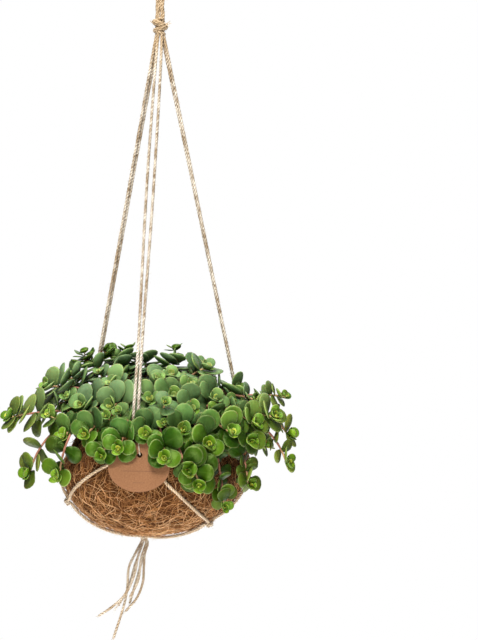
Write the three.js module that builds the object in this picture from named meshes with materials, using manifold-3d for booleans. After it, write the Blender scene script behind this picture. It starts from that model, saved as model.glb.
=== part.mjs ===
// Hanging plant ball: trailing stonecrop in a coir-wrapped root ball, held in a knotted twine hanger.
// Millimetres, +Z up, +X right and +Y away from the front. The origin is where the hook bears,
// inside the top of the hanging loop.

import * as THREE from 'three';
import { mergeVertices } from 'three/addons/utils/BufferGeometryUtils.js';
import Module from 'manifold-3d';

const wasm = await Module();
wasm.setup();

const degrees = THREE.MathUtils.degToRad;

// Driving dimensions
const GAP = 0.3;
const BALL_CENTRE = new THREE.Vector3(-5.5, 0, -510);
const BALL_RADIUS = 92;
const BALL_HALF_HEIGHT = 65.5;
const BALL_TILT = degrees(3.5);
const WRAP_THICKNESS = 8;
const WRAP_RIM_HEIGHT = 52;
const SOIL_HEIGHT = 47;
const TWINE_RADIUS = 1.5;
const TWINE_LIFT = TWINE_RADIUS + 0.65;
const LOOP_STRAND_RADIUS = 2.1;
const LOOP_EYE_RADIUS = 8;
const TOP_KNOT_HEIGHT = -70;
const TOP_KNOT_SIZE = new THREE.Vector3(7.2, 6.8, 8);
const BALL_KNOT_RADIUS = 4.6;
const BOTTOM_KNOT_RADIUS = 4.4;
const TAG_WIDTH = 59;
const TAG_HEIGHT = 47;
const TAG_THICKNESS = 1.2;
const TAG_HOLE_RADIUS = 2.4;
const TAG_HOLE_ABOVE_CENTRE = 11.5;
const TAG_LIFT = 4.4;
const STRING_RADIUS = 0.5;
const STRAND_SIDES = 6;
const CORD_SIDES = 8;
const STEM_RADIUS = 1.2;
const ROOT_DEPTH = 4.5;
const LEAF_LENGTH = 24;

// Materials
const material = (color, roughness) => new THREE.MeshStandardMaterial({ color, roughness, metalness: 0 });
const twineMaterial = () => material(0xc8b491, 0.9);
const coirMaterial = () => material(0x8c5f3c, 0.95);
const soilMaterial = () => material(0x3a2a1e, 1);
const kraftMaterial = () => material(0xaa785a, 0.85);
const leafMaterial = () => material(0x46783c, 0.45);

// Solids: a closed geometry becomes a manifold for joining and cutting, and comes back as a geometry
function toSolid(geometry) {
  const bare = geometry.clone();
  bare.deleteAttribute('normal');
  bare.deleteAttribute('uv');
  const merged = mergeVertices(bare, 1e-4);
  const mesh = new wasm.Mesh({
    numProp: 3,
    vertProperties: new Float32Array(merged.attributes.position.array),
    triVerts: new Uint32Array(merged.index.array),
  });
  mesh.merge();
  return new wasm.Manifold(mesh);
}

function toGeometry(solid) {
  const mesh = solid.getMesh();
  const geometry = new THREE.BufferGeometry();
  geometry.setAttribute('position', new THREE.BufferAttribute(mesh.vertProperties, 3));
  geometry.setIndex(new THREE.BufferAttribute(mesh.triVerts, 1));
  geometry.computeVertexNormals();
  return geometry;
}

function addPiece(group, name, geometry, pieceMaterial) {
  const mesh = new THREE.Mesh(geometry, pieceMaterial);
  mesh.name = name;
  group.add(mesh);
  return mesh;
}

const vec = (x, y, z) => new THREE.Vector3(x, y, z);
const between = (a, b, t) => a.clone().lerp(b, t);

function roundSection(radius, sides) {
  const corners = [];
  for (let i = 0; i < sides; i += 1) {
    const angle = (2 * Math.PI * i) / sides;
    corners.push(new THREE.Vector2(radius * Math.cos(angle), radius * Math.sin(angle)));
  }
  return new THREE.Shape(corners);
}

function tubeAlong(extrudePath, radius, sides, steps) {
  return new THREE.ExtrudeGeometry(roundSection(radius, sides), { steps, extrudePath });
}

function tube(points, radius, sides, steps) {
  return tubeAlong(new THREE.CatmullRomCurve3(points), radius, sides, steps);
}

// The ball is a flattened sphere, tilted so that its right side hangs higher.
// Azimuth is in degrees from the front, to the right; height is along the ball's own axis.
function tilt(point) {
  return point.applyAxisAngle(vec(0, 1, 0), -BALL_TILT);
}

function onBall(azimuth, height, lift) {
  const turn = degrees(azimuth);
  const reach = BALL_RADIUS * Math.sqrt(1 - (height / BALL_HALF_HEIGHT) ** 2);
  const point = vec(reach * Math.sin(turn), -reach * Math.cos(turn), height);
  const normal = vec(point.x, point.y, point.z * (BALL_RADIUS / BALL_HALF_HEIGHT) ** 2).normalize();
  return tilt(point.addScaledVector(normal, lift));
}

// A taut strand lies on the ball along the shortest way from one knot to the next
function alongBall(from, to, share, lift) {
  const squash = BALL_RADIUS / BALL_HALF_HEIGHT;
  const ends = [from, to].map(([azimuth, height]) => {
    const turn = degrees(azimuth);
    const reach = Math.sqrt(1 - (height / BALL_HALF_HEIGHT) ** 2);
    return vec(reach * Math.sin(turn), -reach * Math.cos(turn), height / BALL_HALF_HEIGHT);
  });
  const direction = between(ends[0], ends[1], share).normalize();
  const normal = vec(direction.x, direction.y, direction.z * squash).normalize();
  const point = vec(direction.x, direction.y, direction.z / squash).multiplyScalar(BALL_RADIUS);
  return tilt(point.addScaledVector(normal, lift));
}

// Knots where the strands meet on the ball: azimuth and height
const RIM_KNOTS = { front: [-10, 41], right: [100, 14.5], left: [-120, 34] };
const SIDE_KNOTS = { right: [53, -48], left: [-72, -21], back: [175, -35] };
const BOTTOM_POINT = [-95, -64.6];
// The front strands are pulled in a straight line as seen from the front, by way of one more place
const NET = [
  ['front', 'left', [-25, 18]], ['front', 'right', [9.6, -2]], ['right', 'right'],
  ['right', 'back'], ['left', 'back'], ['left', 'left'],
];

const root = new THREE.Group();
const hanging = new THREE.Group();
hanging.position.copy(BALL_CENTRE);
root.add(hanging);

// Hanging loop: the doubled strands, opened into an eye for the hook
const LOOP_CLOSED = 20;
const LOOP_OPEN = 32;
const LOOP_SHOULDER = 0.85 * LOOP_EYE_RADIUS;
const LOOP_STEPS = 18;
function loopPoints() {
  const side = LOOP_STRAND_RADIUS + GAP;
  const foot = TOP_KNOT_HEIGHT + TOP_KNOT_SIZE.z + GAP;
  const eyeCentre = LOOP_STRAND_RADIUS - LOOP_EYE_RADIUS;
  const rising = [
    vec(-side, 0, foot),
    vec(-side, 0, foot + LOOP_CLOSED),
    vec(-LOOP_SHOULDER, 0, foot + LOOP_OPEN),
  ];
  const arch = [];
  for (let angle = 180; angle >= 0; angle -= 30) {
    const turn = degrees(angle);
    arch.push(vec(LOOP_EYE_RADIUS * Math.cos(turn), 0, eyeCentre + LOOP_EYE_RADIUS * Math.sin(turn)));
  }
  const falling = rising.map((point) => vec(-point.x, 0, point.z)).reverse();
  return [...rising, ...arch, ...falling];
}
const loop = tube(loopPoints(), LOOP_STRAND_RADIUS, CORD_SIDES, LOOP_STEPS);
addPiece(root, 'hanging_loop', loop, twineMaterial());

const topKnot = new THREE.SphereGeometry(1, 10, 7);
topKnot.scale(TOP_KNOT_SIZE.x, TOP_KNOT_SIZE.y, TOP_KNOT_SIZE.z);
topKnot.translate(0, 0, TOP_KNOT_HEIGHT);
addPiece(root, 'top_knot', topKnot, twineMaterial());

// Knots on the ball
function knot(radius) {
  return new THREE.SphereGeometry(radius, 8, 6);
}

const knotLift = BALL_KNOT_RADIUS + GAP;
const rimKnotPlaces = {};
for (const [side, [azimuth, height]] of Object.entries(RIM_KNOTS)) {
  rimKnotPlaces[side] = onBall(azimuth, height, knotLift);
  const piece = addPiece(hanging, `rim_knot_${side}`, knot(BALL_KNOT_RADIUS), twineMaterial());
  piece.position.copy(rimKnotPlaces[side]);
}
for (const [side, [azimuth, height]] of Object.entries(SIDE_KNOTS)) {
  const piece = addPiece(hanging, `side_knot_${side}`, knot(BALL_KNOT_RADIUS), twineMaterial());
  piece.position.copy(onBall(azimuth, height, knotLift));
}
const bottomKnotPlace = onBall(...BOTTOM_POINT, BOTTOM_KNOT_RADIUS + GAP);
addPiece(hanging, 'bottom_knot', knot(BOTTOM_KNOT_RADIUS), twineMaterial()).position.copy(bottomKnotPlace);

// Legs: two strands each, from a ring of six under the top knot to a rim knot.
// The front pair bows apart by a few millimetres before it closes.
const STRAND_RING = 3.4;
const LEG_BOWED_AT = 0.38;
const LEG_CLOSED_AT = 0.8;
const LEG_STEPS = 5;
const LEGS = {
  front: { azimuths: [-30, 30], bow: 1.7 },
  right: { azimuths: [90, 150], bow: 0.3 },
  left: { azimuths: [-90, -150], bow: 0.3 },
};
const legTop = vec(0, 0, TOP_KNOT_HEIGHT - TOP_KNOT_SIZE.z - GAP).sub(BALL_CENTRE);
const legRoutes = [];
for (const [side, leg] of Object.entries(LEGS)) {
  const knotPlace = rimKnotPlaces[side];
  const down = knotPlace.clone().sub(legTop).normalize();
  const across = vec(-knotPlace.y, knotPlace.x, 0).normalize();
  leg.azimuths.forEach((azimuth, index) => {
    const turn = degrees(azimuth);
    const start = legTop.clone().add(vec(STRAND_RING * Math.sin(turn), -STRAND_RING * Math.cos(turn), 0));
    const way = Math.sign(start.clone().sub(legTop).dot(across)) || (index === 0 ? -1 : 1);
    const end = knotPlace.clone().addScaledVector(down, -BALL_KNOT_RADIUS - GAP);
    end.addScaledVector(across, way * (TWINE_RADIUS + GAP));
    const middle = between(start, end, LEG_BOWED_AT).addScaledVector(across, way * leg.bow);
    const closing = between(start, end, LEG_CLOSED_AT);
    const route = [start, middle, closing, end];
    legRoutes.push(route);
    const name = `leg_${side}_${index + 1}`;
    addPiece(hanging, name, tube(route, TWINE_RADIUS, STRAND_SIDES, LEG_STEPS), twineMaterial());
  });
}

// Net strands from the rim knots to the side knots, then pairs to the bottom knot
const NET_STEP = 13;
const netRoutes = [];
function ballRoute(from, to, endShort) {
  const whole = onBall(...from, 0).distanceTo(onBall(...to, 0));
  const steps = Math.round(whole / NET_STEP);
  const points = [];
  for (let i = 0; i <= steps; i += 1) {
    const share = THREE.MathUtils.lerp(endShort[0] / whole, 1 - endShort[1] / whole, i / steps);
    points.push(alongBall(from, to, share, TWINE_LIFT));
  }
  return points;
}
for (const [rim, side, via] of NET) {
  const short = BALL_KNOT_RADIUS + 2 * GAP;
  const ends = [RIM_KNOTS[rim], SIDE_KNOTS[side]];
  const route = via
    ? [...ballRoute(ends[0], via, [short, 0]), ...ballRoute(via, ends[1], [0, short]).slice(1)]
    : ballRoute(...ends, [short, short]);
  netRoutes.push(route);
  const strand = tube(route, TWINE_RADIUS, STRAND_SIDES, route.length - 1);
  addPiece(hanging, `net_${rim}_to_${side}`, strand, twineMaterial());
}

// A pair of strands that lie side by side on the ball, pressed into each other and joined
const PAIR_PRESS = 0.3;
function pairTube(route) {
  const strands = [-1, 1].map((way) => {
    const points = route.map((point, i) => {
      const ahead = route[Math.min(i + 1, route.length - 1)];
      const behind = route[Math.max(i - 1, 0)];
      const across = ahead.clone().sub(behind).cross(point).normalize();
      return point.clone().addScaledVector(across, way * (TWINE_RADIUS - PAIR_PRESS));
    });
    return toSolid(tube(points, TWINE_RADIUS, STRAND_SIDES, points.length - 1));
  });
  return toGeometry(strands[0].add(strands[1]));
}
for (const [side, place] of Object.entries(SIDE_KNOTS)) {
  const short = [BALL_KNOT_RADIUS + 2 * GAP, BOTTOM_KNOT_RADIUS + 2 * GAP];
  const route = ballRoute(place, BOTTOM_POINT, short);
  addPiece(hanging, `base_strands_${side}`, pairTube(route), twineMaterial());
}

// Wrap and root ball: turned shapes on the ball's own tilted axis
const LATHE_SIDES = 16;
function turned(profile) {
  const geometry = new THREE.LatheGeometry(profile, LATHE_SIDES);
  geometry.rotateX(Math.PI / 2);
  return geometry;
}

function bowlArc(inset, topHeight, steps) {
  const radius = BALL_RADIUS - inset;
  const halfHeight = BALL_HALF_HEIGHT - inset;
  const last = Math.asin(topHeight / halfHeight);
  const arc = [];
  for (let i = 0; i <= steps; i += 1) {
    const angle = THREE.MathUtils.lerp(-Math.PI / 2, last, i / steps);
    arc.push(new THREE.Vector2(i === 0 ? 0 : radius * Math.cos(angle), halfHeight * Math.sin(angle)));
  }
  return arc;
}

const wrapInside = bowlArc(WRAP_THICKNESS, SOIL_HEIGHT, 6);
const rimOpening = wrapInside.at(-1).x;
const wrapProfile = [
  ...bowlArc(0, WRAP_RIM_HEIGHT, 9),
  new THREE.Vector2(rimOpening, WRAP_RIM_HEIGHT),
  ...wrapInside.reverse(),
];
addPiece(hanging, 'coir_wrap', turned(wrapProfile), coirMaterial()).rotation.y = -BALL_TILT;

// Tag: an oval card that leans on the front of the ball, hung by its thread from the front knot
const TAG_SPOT = [-5.5, 14];
const tagPlace = onBall(...TAG_SPOT, TAG_LIFT + TAG_THICKNESS / 2);
const tagNormal = tagPlace.clone().sub(onBall(...TAG_SPOT, 0)).normalize();
const tagRight = vec(0, 0, 1).cross(tagNormal).normalize();
const tagUp = tagNormal.clone().cross(tagRight);

function tagPoint(right, up, out) {
  const point = tagPlace.clone().addScaledVector(tagRight, right);
  return point.addScaledVector(tagUp, up).addScaledVector(tagNormal, out);
}

const tagShape = new THREE.Shape();
tagShape.absellipse(0, 0, TAG_WIDTH / 2, TAG_HEIGHT / 2, 0, 2 * Math.PI);
const tagHole = new THREE.Path();
tagHole.absarc(0, TAG_HOLE_ABOVE_CENTRE, TAG_HOLE_RADIUS, 0, 2 * Math.PI);
tagShape.holes.push(tagHole);
const tagGeometry = new THREE.ExtrudeGeometry(tagShape, {
  depth: TAG_THICKNESS,
  bevelEnabled: false,
  curveSegments: 14,
});
tagGeometry.translate(0, 0, -TAG_THICKNESS / 2);
const tag = addPiece(hanging, 'tag', tagGeometry, kraftMaterial());
tag.position.copy(tagPlace);
tag.quaternion.setFromRotationMatrix(new THREE.Matrix4().makeBasis(tagRight, tagUp, tagNormal));

const hole = TAG_HOLE_ABOVE_CENTRE;
const threadRoute = [
  tagPoint(-2.4, hole + 13.8, 1.5), tagPoint(-0.9, hole + 8, 2.2), tagPoint(-0.4, hole + 3.2, 2),
  tagPoint(0, hole, 0), tagPoint(0.5, hole + 3.2, -2), tagPoint(1.4, hole + 9, -2.4),
];
function onFrontKnot(point) {
  const way = point.clone().sub(rimKnotPlaces.front).setLength(BALL_KNOT_RADIUS + GAP);
  return rimKnotPlaces.front.clone().add(way);
}
threadRoute.unshift(onFrontKnot(threadRoute[0]));
threadRoute.push(onFrontKnot(threadRoute.at(-1)));
const THREAD_STEPS = 14;
const thread = tube(threadRoute, STRING_RADIUS, STRAND_SIDES, THREAD_STEPS);
addPiece(hanging, 'tag_thread', thread, twineMaterial());

// Tassel: the six loose strand ends, each from its place in a ring under the bottom knot
const TASSEL = {
  long: [-90, [-20, -4, -84], [-26.5, -5, -98], [-28, -5, -117], [-31, -5, -134], [-42, -6, -169]],
  left: [-30, [-17, -9, -86], [-21, -11, -105], [-30, -12, -124], [-44, -13, -137], [-56, -13, -145]],
  short: [30, [-14, -7, -88], [-17, -8, -110], [-25, -8, -127]],
  right: [90, [-11, 0, -86], [-12, 1, -99], [-13, 1, -114], [-19, 0, -130], [-30, -1, -143]],
  back: [150, [-13, 6, -88], [-16, 10, -100], [-22, 11, -121], [-27, 11, -138]],
  frayed: [-150, [-17, 4, -86], [-21.5, 6, -99], [-28, 6, -121], [-38, 6, -139]],
};
const CORD_STEP = 3 * 2 * TWINE_RADIUS;
for (const [name, [azimuth, ...places]] of Object.entries(TASSEL)) {
  const turn = degrees(azimuth);
  const start = bottomKnotPlace.clone();
  start.add(vec(STRAND_RING * Math.sin(turn), -STRAND_RING * Math.cos(turn), -BOTTOM_KNOT_RADIUS));
  const route = [start, ...places.map((place) => vec(...place))];
  const length = new THREE.CatmullRomCurve3(route).getLength();
  const steps = Math.round(length / CORD_STEP);
  addPiece(hanging, `tassel_${name}`, tube(route, TWINE_RADIUS, CORD_SIDES, steps), twineMaterial());
}

// Sprays: leafy stems, one root each and one or two stems. A stem is the place of its tip,
// from the ball's centre, and how far the stem rises over the straight way there.
const SPRAYS = {
  far_left: { size: 1, stems: [[-142, -20, 54, 10], [-111, 10, 80, 8]] },
  low_left: { size: 0.8, stems: [[-120, -45, 0, 12], [-89, -62, 0, 12]] },
  left_shoulder: { size: 1, stems: [[-70, -35, 66, 10], [-84, -50, 38, 12]] },
  high_left: { size: 0.95, stems: [[-91, 30, 88, 6], [-70, 35, 100, 4]] },
  left_top: { size: 1.1, stems: [[-42, -22, 86, 4], [-40, -50, 66, 10]] },
  crown_left: { size: 1, stems: [[-42, 42, 107, 2], [-12, 46, 106, 2]] },
  front_left: { size: 0.9, stems: [[-45, -92, 24, 10], [-62, -78, 42, 10]] },
  front_mid_left: { size: 0.9, stems: [[-29, -96, 31, 10]] },
  front_mid: { size: 0.95, stems: [[-4, -92, 44, 8], [14, -102, 24, 12]] },
  front_top: { size: 1, stems: [[-2, -58, 74, 8], [20, -44, 76, 6]] },
  crown_front: { size: 1.15, stems: [[16, -16, 94, 2]] },
  crown_back: { size: 1, stems: [[22, 32, 108, 2], [46, 40, 99, 2]] },
  crown_right: { size: 1.05, stems: [[52, 0, 100, 3], [84, 6, 76, 6]] },
  right_shoulder: { size: 1, stems: [[60, -42, 73, 12], [38, -62, 65, 12]] },
  front_right: { size: 1, stems: [[31, -84, 48, 12], [54, -84, 34, 10]] },
  bright_right: { size: 1.05, stems: [[76, -68, 44, 10], [94, -50, 32, 10]] },
  front_low: { size: 0.96, stems: [[36, -101, 11, 12], [45, -95, -4, 14]] },
  low_right: { size: 0.58, stems: [[69, -75, -27, 18], [93, -48, -11, 14]] },
  far_right: { size: 0.85, stems: [[118, -22, 54, 12], [99, -36, 48, 12]] },
  high_right: { size: 0.62, stems: [[130, 4, 72, 8], [100, -12, 70, 10]] },
  hanging_right: { size: 0.62, stems: [[131, -10, 6, 12], [134, 12, 31, 12]] },
  back_right: { size: 1, stems: [[90, 52, 50, 10], [110, 38, 18, 12]] },
  back_right_low: { size: 1, stems: [[62, 88, 26, 12], [50, 68, 76, 10]] },
  back_mid: { size: 1, stems: [[12, 104, 22, 12], [4, 78, 82, 8]] },
  back_left: { size: 1, stems: [[-42, 96, 28, 12], [-34, 74, 78, 8]] },
  back_left_low: { size: 1, stems: [[-94, 66, 34, 12], [-112, 44, 58, 10]] },
};
const STEM_SEGMENTS = 6;
const STEM_CLEARANCE = 2 * STEM_RADIUS + 0.6;
const ROOT_REACH = 22;
const ROOT_SPREAD = 0.2;
const ROOT_SHARE = 0.7;
const CLIMB = 20;
const CLIMB_ASIDE = 0.3;
const LEAN_SHARE = 0.62;
const LEAN_FURTHER = 0.25;
const FULL_DROP = 50;
const STEM_GAP = 0.5;
const PROBE_STEP = 2;
const BENDS = [
  [0, 0], [6, 2], [-6, 2], [0, 6], [10, 6], [-10, 6], [0, 12], [15, 10], [-15, 10],
  [0, 18], [20, 16], [-20, 16], [0, 24], [26, 22], [-26, 22], [0, 30],
];

// One draw after another from a fixed start, the same each time the part is built
let drawState = 20260;
function draw() {
  drawState = (Math.imul(drawState, 1664525) + 1013904223) >>> 0;
  return drawState / 2 ** 32;
}

// Sprays that hang low root near the rim, and those that stand high root near the middle
function rootPlace([x, y, z]) {
  const flat = vec(x, y, 0);
  const reach = ROOT_REACH + ROOT_SPREAD * (SOIL_HEIGHT - z);
  flat.setLength(Math.min(ROOT_SHARE * flat.length(), reach));
  return tilt(vec(flat.x, flat.y, SOIL_HEIGHT));
}

// A stem climbs out of the soil, leans over and ends at its tip
function stemCurve(start, [x, y, z, rise], [sideways, higher]) {
  const tip = vec(x, y, z);
  const drop = THREE.MathUtils.clamp((start.z - z) / FULL_DROP, 0, 1);
  const lean = between(start, tip, LEAN_SHARE + LEAN_FURTHER * drop);
  const side = vec(-y, x, 0).setLength(1);
  lean.z = Math.max(start.z, z) + rise + higher;
  lean.addScaledVector(side, sideways);
  const climb = start.clone().add(vec(0, 0, CLIMB)).addScaledVector(side, CLIMB_ASIDE * sideways);
  return new THREE.CubicBezierCurve3(start, climb, lean, tip);
}

function alongRoute(route) {
  const samples = [];
  for (let i = 1; i < route.length; i += 1) {
    const length = route[i].distanceTo(route[i - 1]);
    const count = Math.max(1, Math.ceil(length / PROBE_STEP));
    for (let k = 0; k < count; k += 1) {
      samples.push(between(route[i - 1], route[i], k / count));
    }
  }
  samples.push(route.at(-1));
  return samples;
}

// What leaves and stems keep clear of: balls set along each strand, in each knot and over the tag
const obstacles = [];
function addObstacle(points, radius) {
  points.forEach((point) => obstacles.push({ point, radius }));
}
[...legRoutes, ...netRoutes].forEach((route) => addObstacle(alongRoute(route), TWINE_RADIUS));
addObstacle(Object.values(rimKnotPlaces), BALL_KNOT_RADIUS);
addObstacle(alongRoute(threadRoute), STRING_RADIUS);
const TAG_PROBE_STEP = 4;
const TAG_PROBE_RADIUS = 2;
for (let right = -TAG_WIDTH / 2; right <= TAG_WIDTH / 2; right += TAG_PROBE_STEP) {
  for (let up = -TAG_HEIGHT / 2; up <= TAG_HEIGHT / 2; up += TAG_PROBE_STEP) {
    const inside = (2 * right / TAG_WIDTH) ** 2 + (2 * up / TAG_HEIGHT) ** 2 < 1;
    if (inside) {
      addObstacle([tagPoint(right, up, 0)], TAG_PROBE_RADIUS);
    }
  }
}

// The wrap and its rim, with room for a stem or a leaf beside them
function inBall(point, margin) {
  const local = point.clone().applyAxisAngle(vec(0, 1, 0), BALL_TILT);
  const flat = Math.hypot(local.x, local.y) / (BALL_RADIUS + margin);
  const squashed = local.z / (BALL_HALF_HEIGHT + margin);
  return local.z < WRAP_RIM_HEIGHT + margin && Math.hypot(flat, squashed) < 1;
}

const RIM_MARGIN = STEM_RADIUS + 0.8;
function inRim(point) {
  return Math.hypot(point.x, point.y) > rimOpening - RIM_MARGIN && inBall(point, RIM_MARGIN);
}

const stems = [];
for (const [name, spray] of Object.entries(SPRAYS)) {
  let start = rootPlace(spray.stems[0]).add(tilt(vec(0, 0, -ROOT_DEPTH)));
  for (const goal of spray.stems) {
    const stem = { spray: name, size: spray.size, twist: draw() };
    const others = stems.filter((other) => other.spray !== name);
    for (const bend of BENDS) {
      stem.curve = stemCurve(start, goal, bend);
      stem.route = stem.curve.getSpacedPoints(STEM_SEGMENTS);
      stem.samples = alongRoute(stem.route);
      const free = stem.samples.every((point) => (
        !inRim(point)
        && obstacles.every((o) => o.point.distanceTo(point) > o.radius + STEM_RADIUS + STEM_GAP)
        && others.every((other) => other.samples.every((p) => p.distanceTo(point) > STEM_CLEARANCE))));
      if (free) {
        break;
      }
    }
    stems.push(stem);
    start = stem.route[1].clone();
  }
}

// Leaves sit in crossed pairs. Ranks count from the tip: way back along the stem, length as a share
// of a full leaf, angle off the stem, and how much a leaf still follows the stem rather than the light.
const RANKS = [
  { back: 2.5, length: 0.52, spread: 40, follow: 0.2 },
  { back: 6, length: 0.82, spread: 66, follow: 0.25 },
  { back: 15, length: 1, spread: 76, follow: 0.55 },
  { back: 29, length: 1.05, spread: 82, follow: 0.8 },
];
const LEAFY_SHARE = 0.36;
const LEAF_GAP = 0.7;
const LEAF_MARGIN = 3.2;
const NECK_RADIUS = 0.8;
const NECK_LENGTH = 0.56;
const HALF_LONG = 0.46;
const HALF_WIDE = 0.45;
const CUP = 0.1;
const EGG_SHAPE = 0.1;
const THIN = 0.3;
const FLESHY = 0.085;
const LEAF_REACH = 0.6;
const LOW_LIGHT = { up: 0.35, out: 0.75, front: 0.4 };
const HIGH_LIGHT = { up: 0.8, out: 0.3, front: 0.3 };
const LIGHT_HEIGHTS = [20, 100];
const LEAN_OUT = 0.1;
const NOD = 0.06;
const SPIN_RANGE = 20;
const OPEN_RANGE = 16;
const FACE_FOLLOW = 0.5;
const SAME_STEM_GAP = 0.1;
const INNER_PROBES = 0.55;
const TRIES = [
  [0, 0, 1], [18, 0, 1], [-18, 0, 1], [0, 22, 1], [0, -22, 1], [26, 14, 0.9], [-26, 14, 0.9],
  [34, -14, 0.82], [-34, -14, 0.82], [12, 34, 0.74], [-12, -30, 0.74], [44, 20, 0.68],
];

function alongStem(route, back) {
  let left = back;
  for (let i = route.length - 1; i > 0; i -= 1) {
    const length = route[i].distanceTo(route[i - 1]);
    if (left <= length || i === 1) {
      const point = between(route[i], route[i - 1], Math.min(1, left / length));
      return { point, ahead: route[i].clone().sub(route[i - 1]).normalize() };
    }
    left -= length;
  }
  return null;
}

// Probes on a leaf's disc: the neck and the near rim first, then the far rim, half way in and the centre
const PROBES = [[-1.12, 0]];
const NECK_PROBES = 6;
for (let i = -2; i < 14; i += 1) {
  const turn = Math.PI + (i * Math.PI) / 8;
  PROBES.push([Math.cos(turn), Math.sin(turn)]);
}
for (let i = 0; i < 8; i += 1) {
  const turn = (i * Math.PI) / 4;
  PROBES.push([INNER_PROBES * Math.cos(turn), INNER_PROBES * Math.sin(turn)]);
}
PROBES.push([0, 0]);

// Where the light comes from: from the front and the side for a low leaf, more from above for a high one
function lightAt(point) {
  const [low, high] = LIGHT_HEIGHTS;
  const share = THREE.MathUtils.clamp((point.z - low) / (high - low), 0, 1);
  const part = (name) => THREE.MathUtils.lerp(LOW_LIGHT[name], HIGH_LIGHT[name], share);
  const outward = vec(point.x, point.y, 0).normalize();
  return vec(0, -part('front'), part('up')).addScaledVector(outward, part('out')).normalize();
}

function makeLeaf(stem, rank, way, [turn, lift, shrink], [spin, nod]) {
  const { back, length, spread, follow } = RANKS[rank];
  const { point, ahead } = alongStem(stem.route, back);
  const outward = vec(point.x, point.y, 0).normalize();
  const light = lightAt(point);
  const growth = ahead.clone().multiplyScalar(follow).addScaledVector(light, 1 - follow).normalize();
  const high = vec(0, 0, 1).addScaledVector(outward, LEAN_OUT).cross(growth).normalize();
  const wide = growth.clone().cross(high);
  const place = 90 * rank + 90 * stem.twist + 180 * way;
  const angle = degrees(place + SPIN_RANGE * (spin - 0.5) + turn);
  const off = high.multiplyScalar(Math.cos(angle)).addScaledVector(wide, Math.sin(angle));
  const open = degrees(spread + OPEN_RANGE * (nod - 0.5) + lift);
  const axis = growth.multiplyScalar(Math.cos(open)).addScaledVector(off, Math.sin(open));
  axis.z -= NOD;
  axis.normalize();
  const face = ahead.clone().multiplyScalar(FACE_FOLLOW * follow).add(light);
  face.addScaledVector(axis, -face.dot(axis)).normalize();
  const size = LEAF_LENGTH * length * stem.size * shrink;
  const leaf = {
    stem, rank, axis, face, side: axis.clone().cross(face), size,
    centre: point.clone().addScaledVector(axis, NECK_LENGTH * size),
    long: HALF_LONG * size,
    wide: HALF_WIDE * size,
    cup: CUP * size,
    thick: THIN + FLESHY * size,
  };
  leaf.probes = PROBES.map(([u, v]) => {
    const share = Math.min(1, Math.hypot(u, v));
    const probe = leaf.centre.clone().addScaledVector(axis, u * leaf.long);
    probe.addScaledVector(leaf.side, v * leaf.wide).addScaledVector(face, leaf.cup * share);
    return { point: probe, radius: (leaf.thick / 2) * (1 - share) };
  });
  return leaf;
}

function distanceToLeaf(point, leaf) {
  const way = point.clone().sub(leaf.centre);
  const share = Math.hypot(way.dot(leaf.axis) / leaf.long, way.dot(leaf.side) / leaf.wide);
  const height = way.dot(leaf.face) - leaf.cup * Math.min(1, share);
  const past = Math.max(0, share - 1) * leaf.wide;
  const over = Math.max(0, Math.abs(height) - (leaf.thick / 2) * Math.max(0, 1 - share));
  const back = THREE.MathUtils.clamp(way.dot(leaf.axis), -NECK_LENGTH * leaf.size, -leaf.long);
  const neck = way.addScaledVector(leaf.axis, -back).length() - NECK_RADIUS;
  return Math.min(Math.hypot(past, over), neck);
}

function isFree(leaf, leaves) {
  if (leaf.probes.some((probe) => inBall(probe.point, LEAF_MARGIN))) {
    return false;
  }
  const reach = leaf.size * LEAF_REACH;
  const near = (point, more) => point.distanceTo(leaf.centre) < reach + more;
  const hits = (point, radius) => near(point, radius + LEAF_GAP)
    && distanceToLeaf(point, leaf) < radius + LEAF_GAP;
  if (obstacles.some((o) => hits(o.point, o.radius))) {
    return false;
  }
  const otherStems = stems.filter((stem) => stem !== leaf.stem);
  if (otherStems.some((stem) => stem.samples.some((point) => hits(point, STEM_RADIUS)))) {
    return false;
  }
  return leaves.every((other) => {
    if (!near(other.centre, other.size * LEAF_REACH)) {
      return true;
    }
    // Leaves of one rosette may meet at their necks
    const sameStem = other.stem === leaf.stem;
    const gap = sameStem ? SAME_STEM_GAP : LEAF_GAP;
    const first = sameStem ? NECK_PROBES : 0;
    const clear = (probes, disc) => probes.slice(first).every((probe) => (
      distanceToLeaf(probe.point, disc) > probe.radius + gap));
    return clear(leaf.probes, other) && clear(other.probes, leaf);
  });
}

const leaves = [];
RANKS.forEach((rank, index) => {
  for (const stem of stems) {
    const length = stem.route.reduce((sum, p, i) => sum + (i ? p.distanceTo(stem.route[i - 1]) : 0), 0);
    for (const way of [0, 1]) {
      const draws = [draw(), draw()];
      if (rank.back > LEAFY_SHARE * length) {
        continue;
      }
      for (const attempt of TRIES) {
        const leaf = makeLeaf(stem, index, way, attempt, draws);
        if (isFree(leaf, leaves)) {
          leaves.push(leaf);
          break;
        }
      }
    }
  }
});

// A leaf is a shallow spoon: a lens of few sides whose rim is raised. Its root ends in the stem,
// just short of the stem's axis.
const ROOT_SHORT = 0.4;
function leafSolid(leaf) {
  const lens = new THREE.SphereGeometry(1, leaf.rank === 0 ? 5 : 6, 2);
  const place = lens.attributes.position;
  for (let i = 0; i < place.count; i += 1) {
    const along = place.getX(i);
    const across = place.getZ(i);
    const share = Math.min(1, Math.hypot(along, across));
    const isRoot = along < -0.99;
    const u = isRoot ? ROOT_SHORT - NECK_LENGTH * leaf.size : along * leaf.long;
    const v = across * leaf.wide * (1 + EGG_SHAPE * along);
    const w = (leaf.thick / 2) * place.getY(i) + leaf.cup * (isRoot ? 0 : share);
    const point = leaf.centre.clone().addScaledVector(leaf.axis, u);
    point.addScaledVector(leaf.side, v).addScaledVector(leaf.face, w);
    place.setXYZ(i, point.x, point.y, point.z);
  }
  return toSolid(lens);
}

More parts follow.
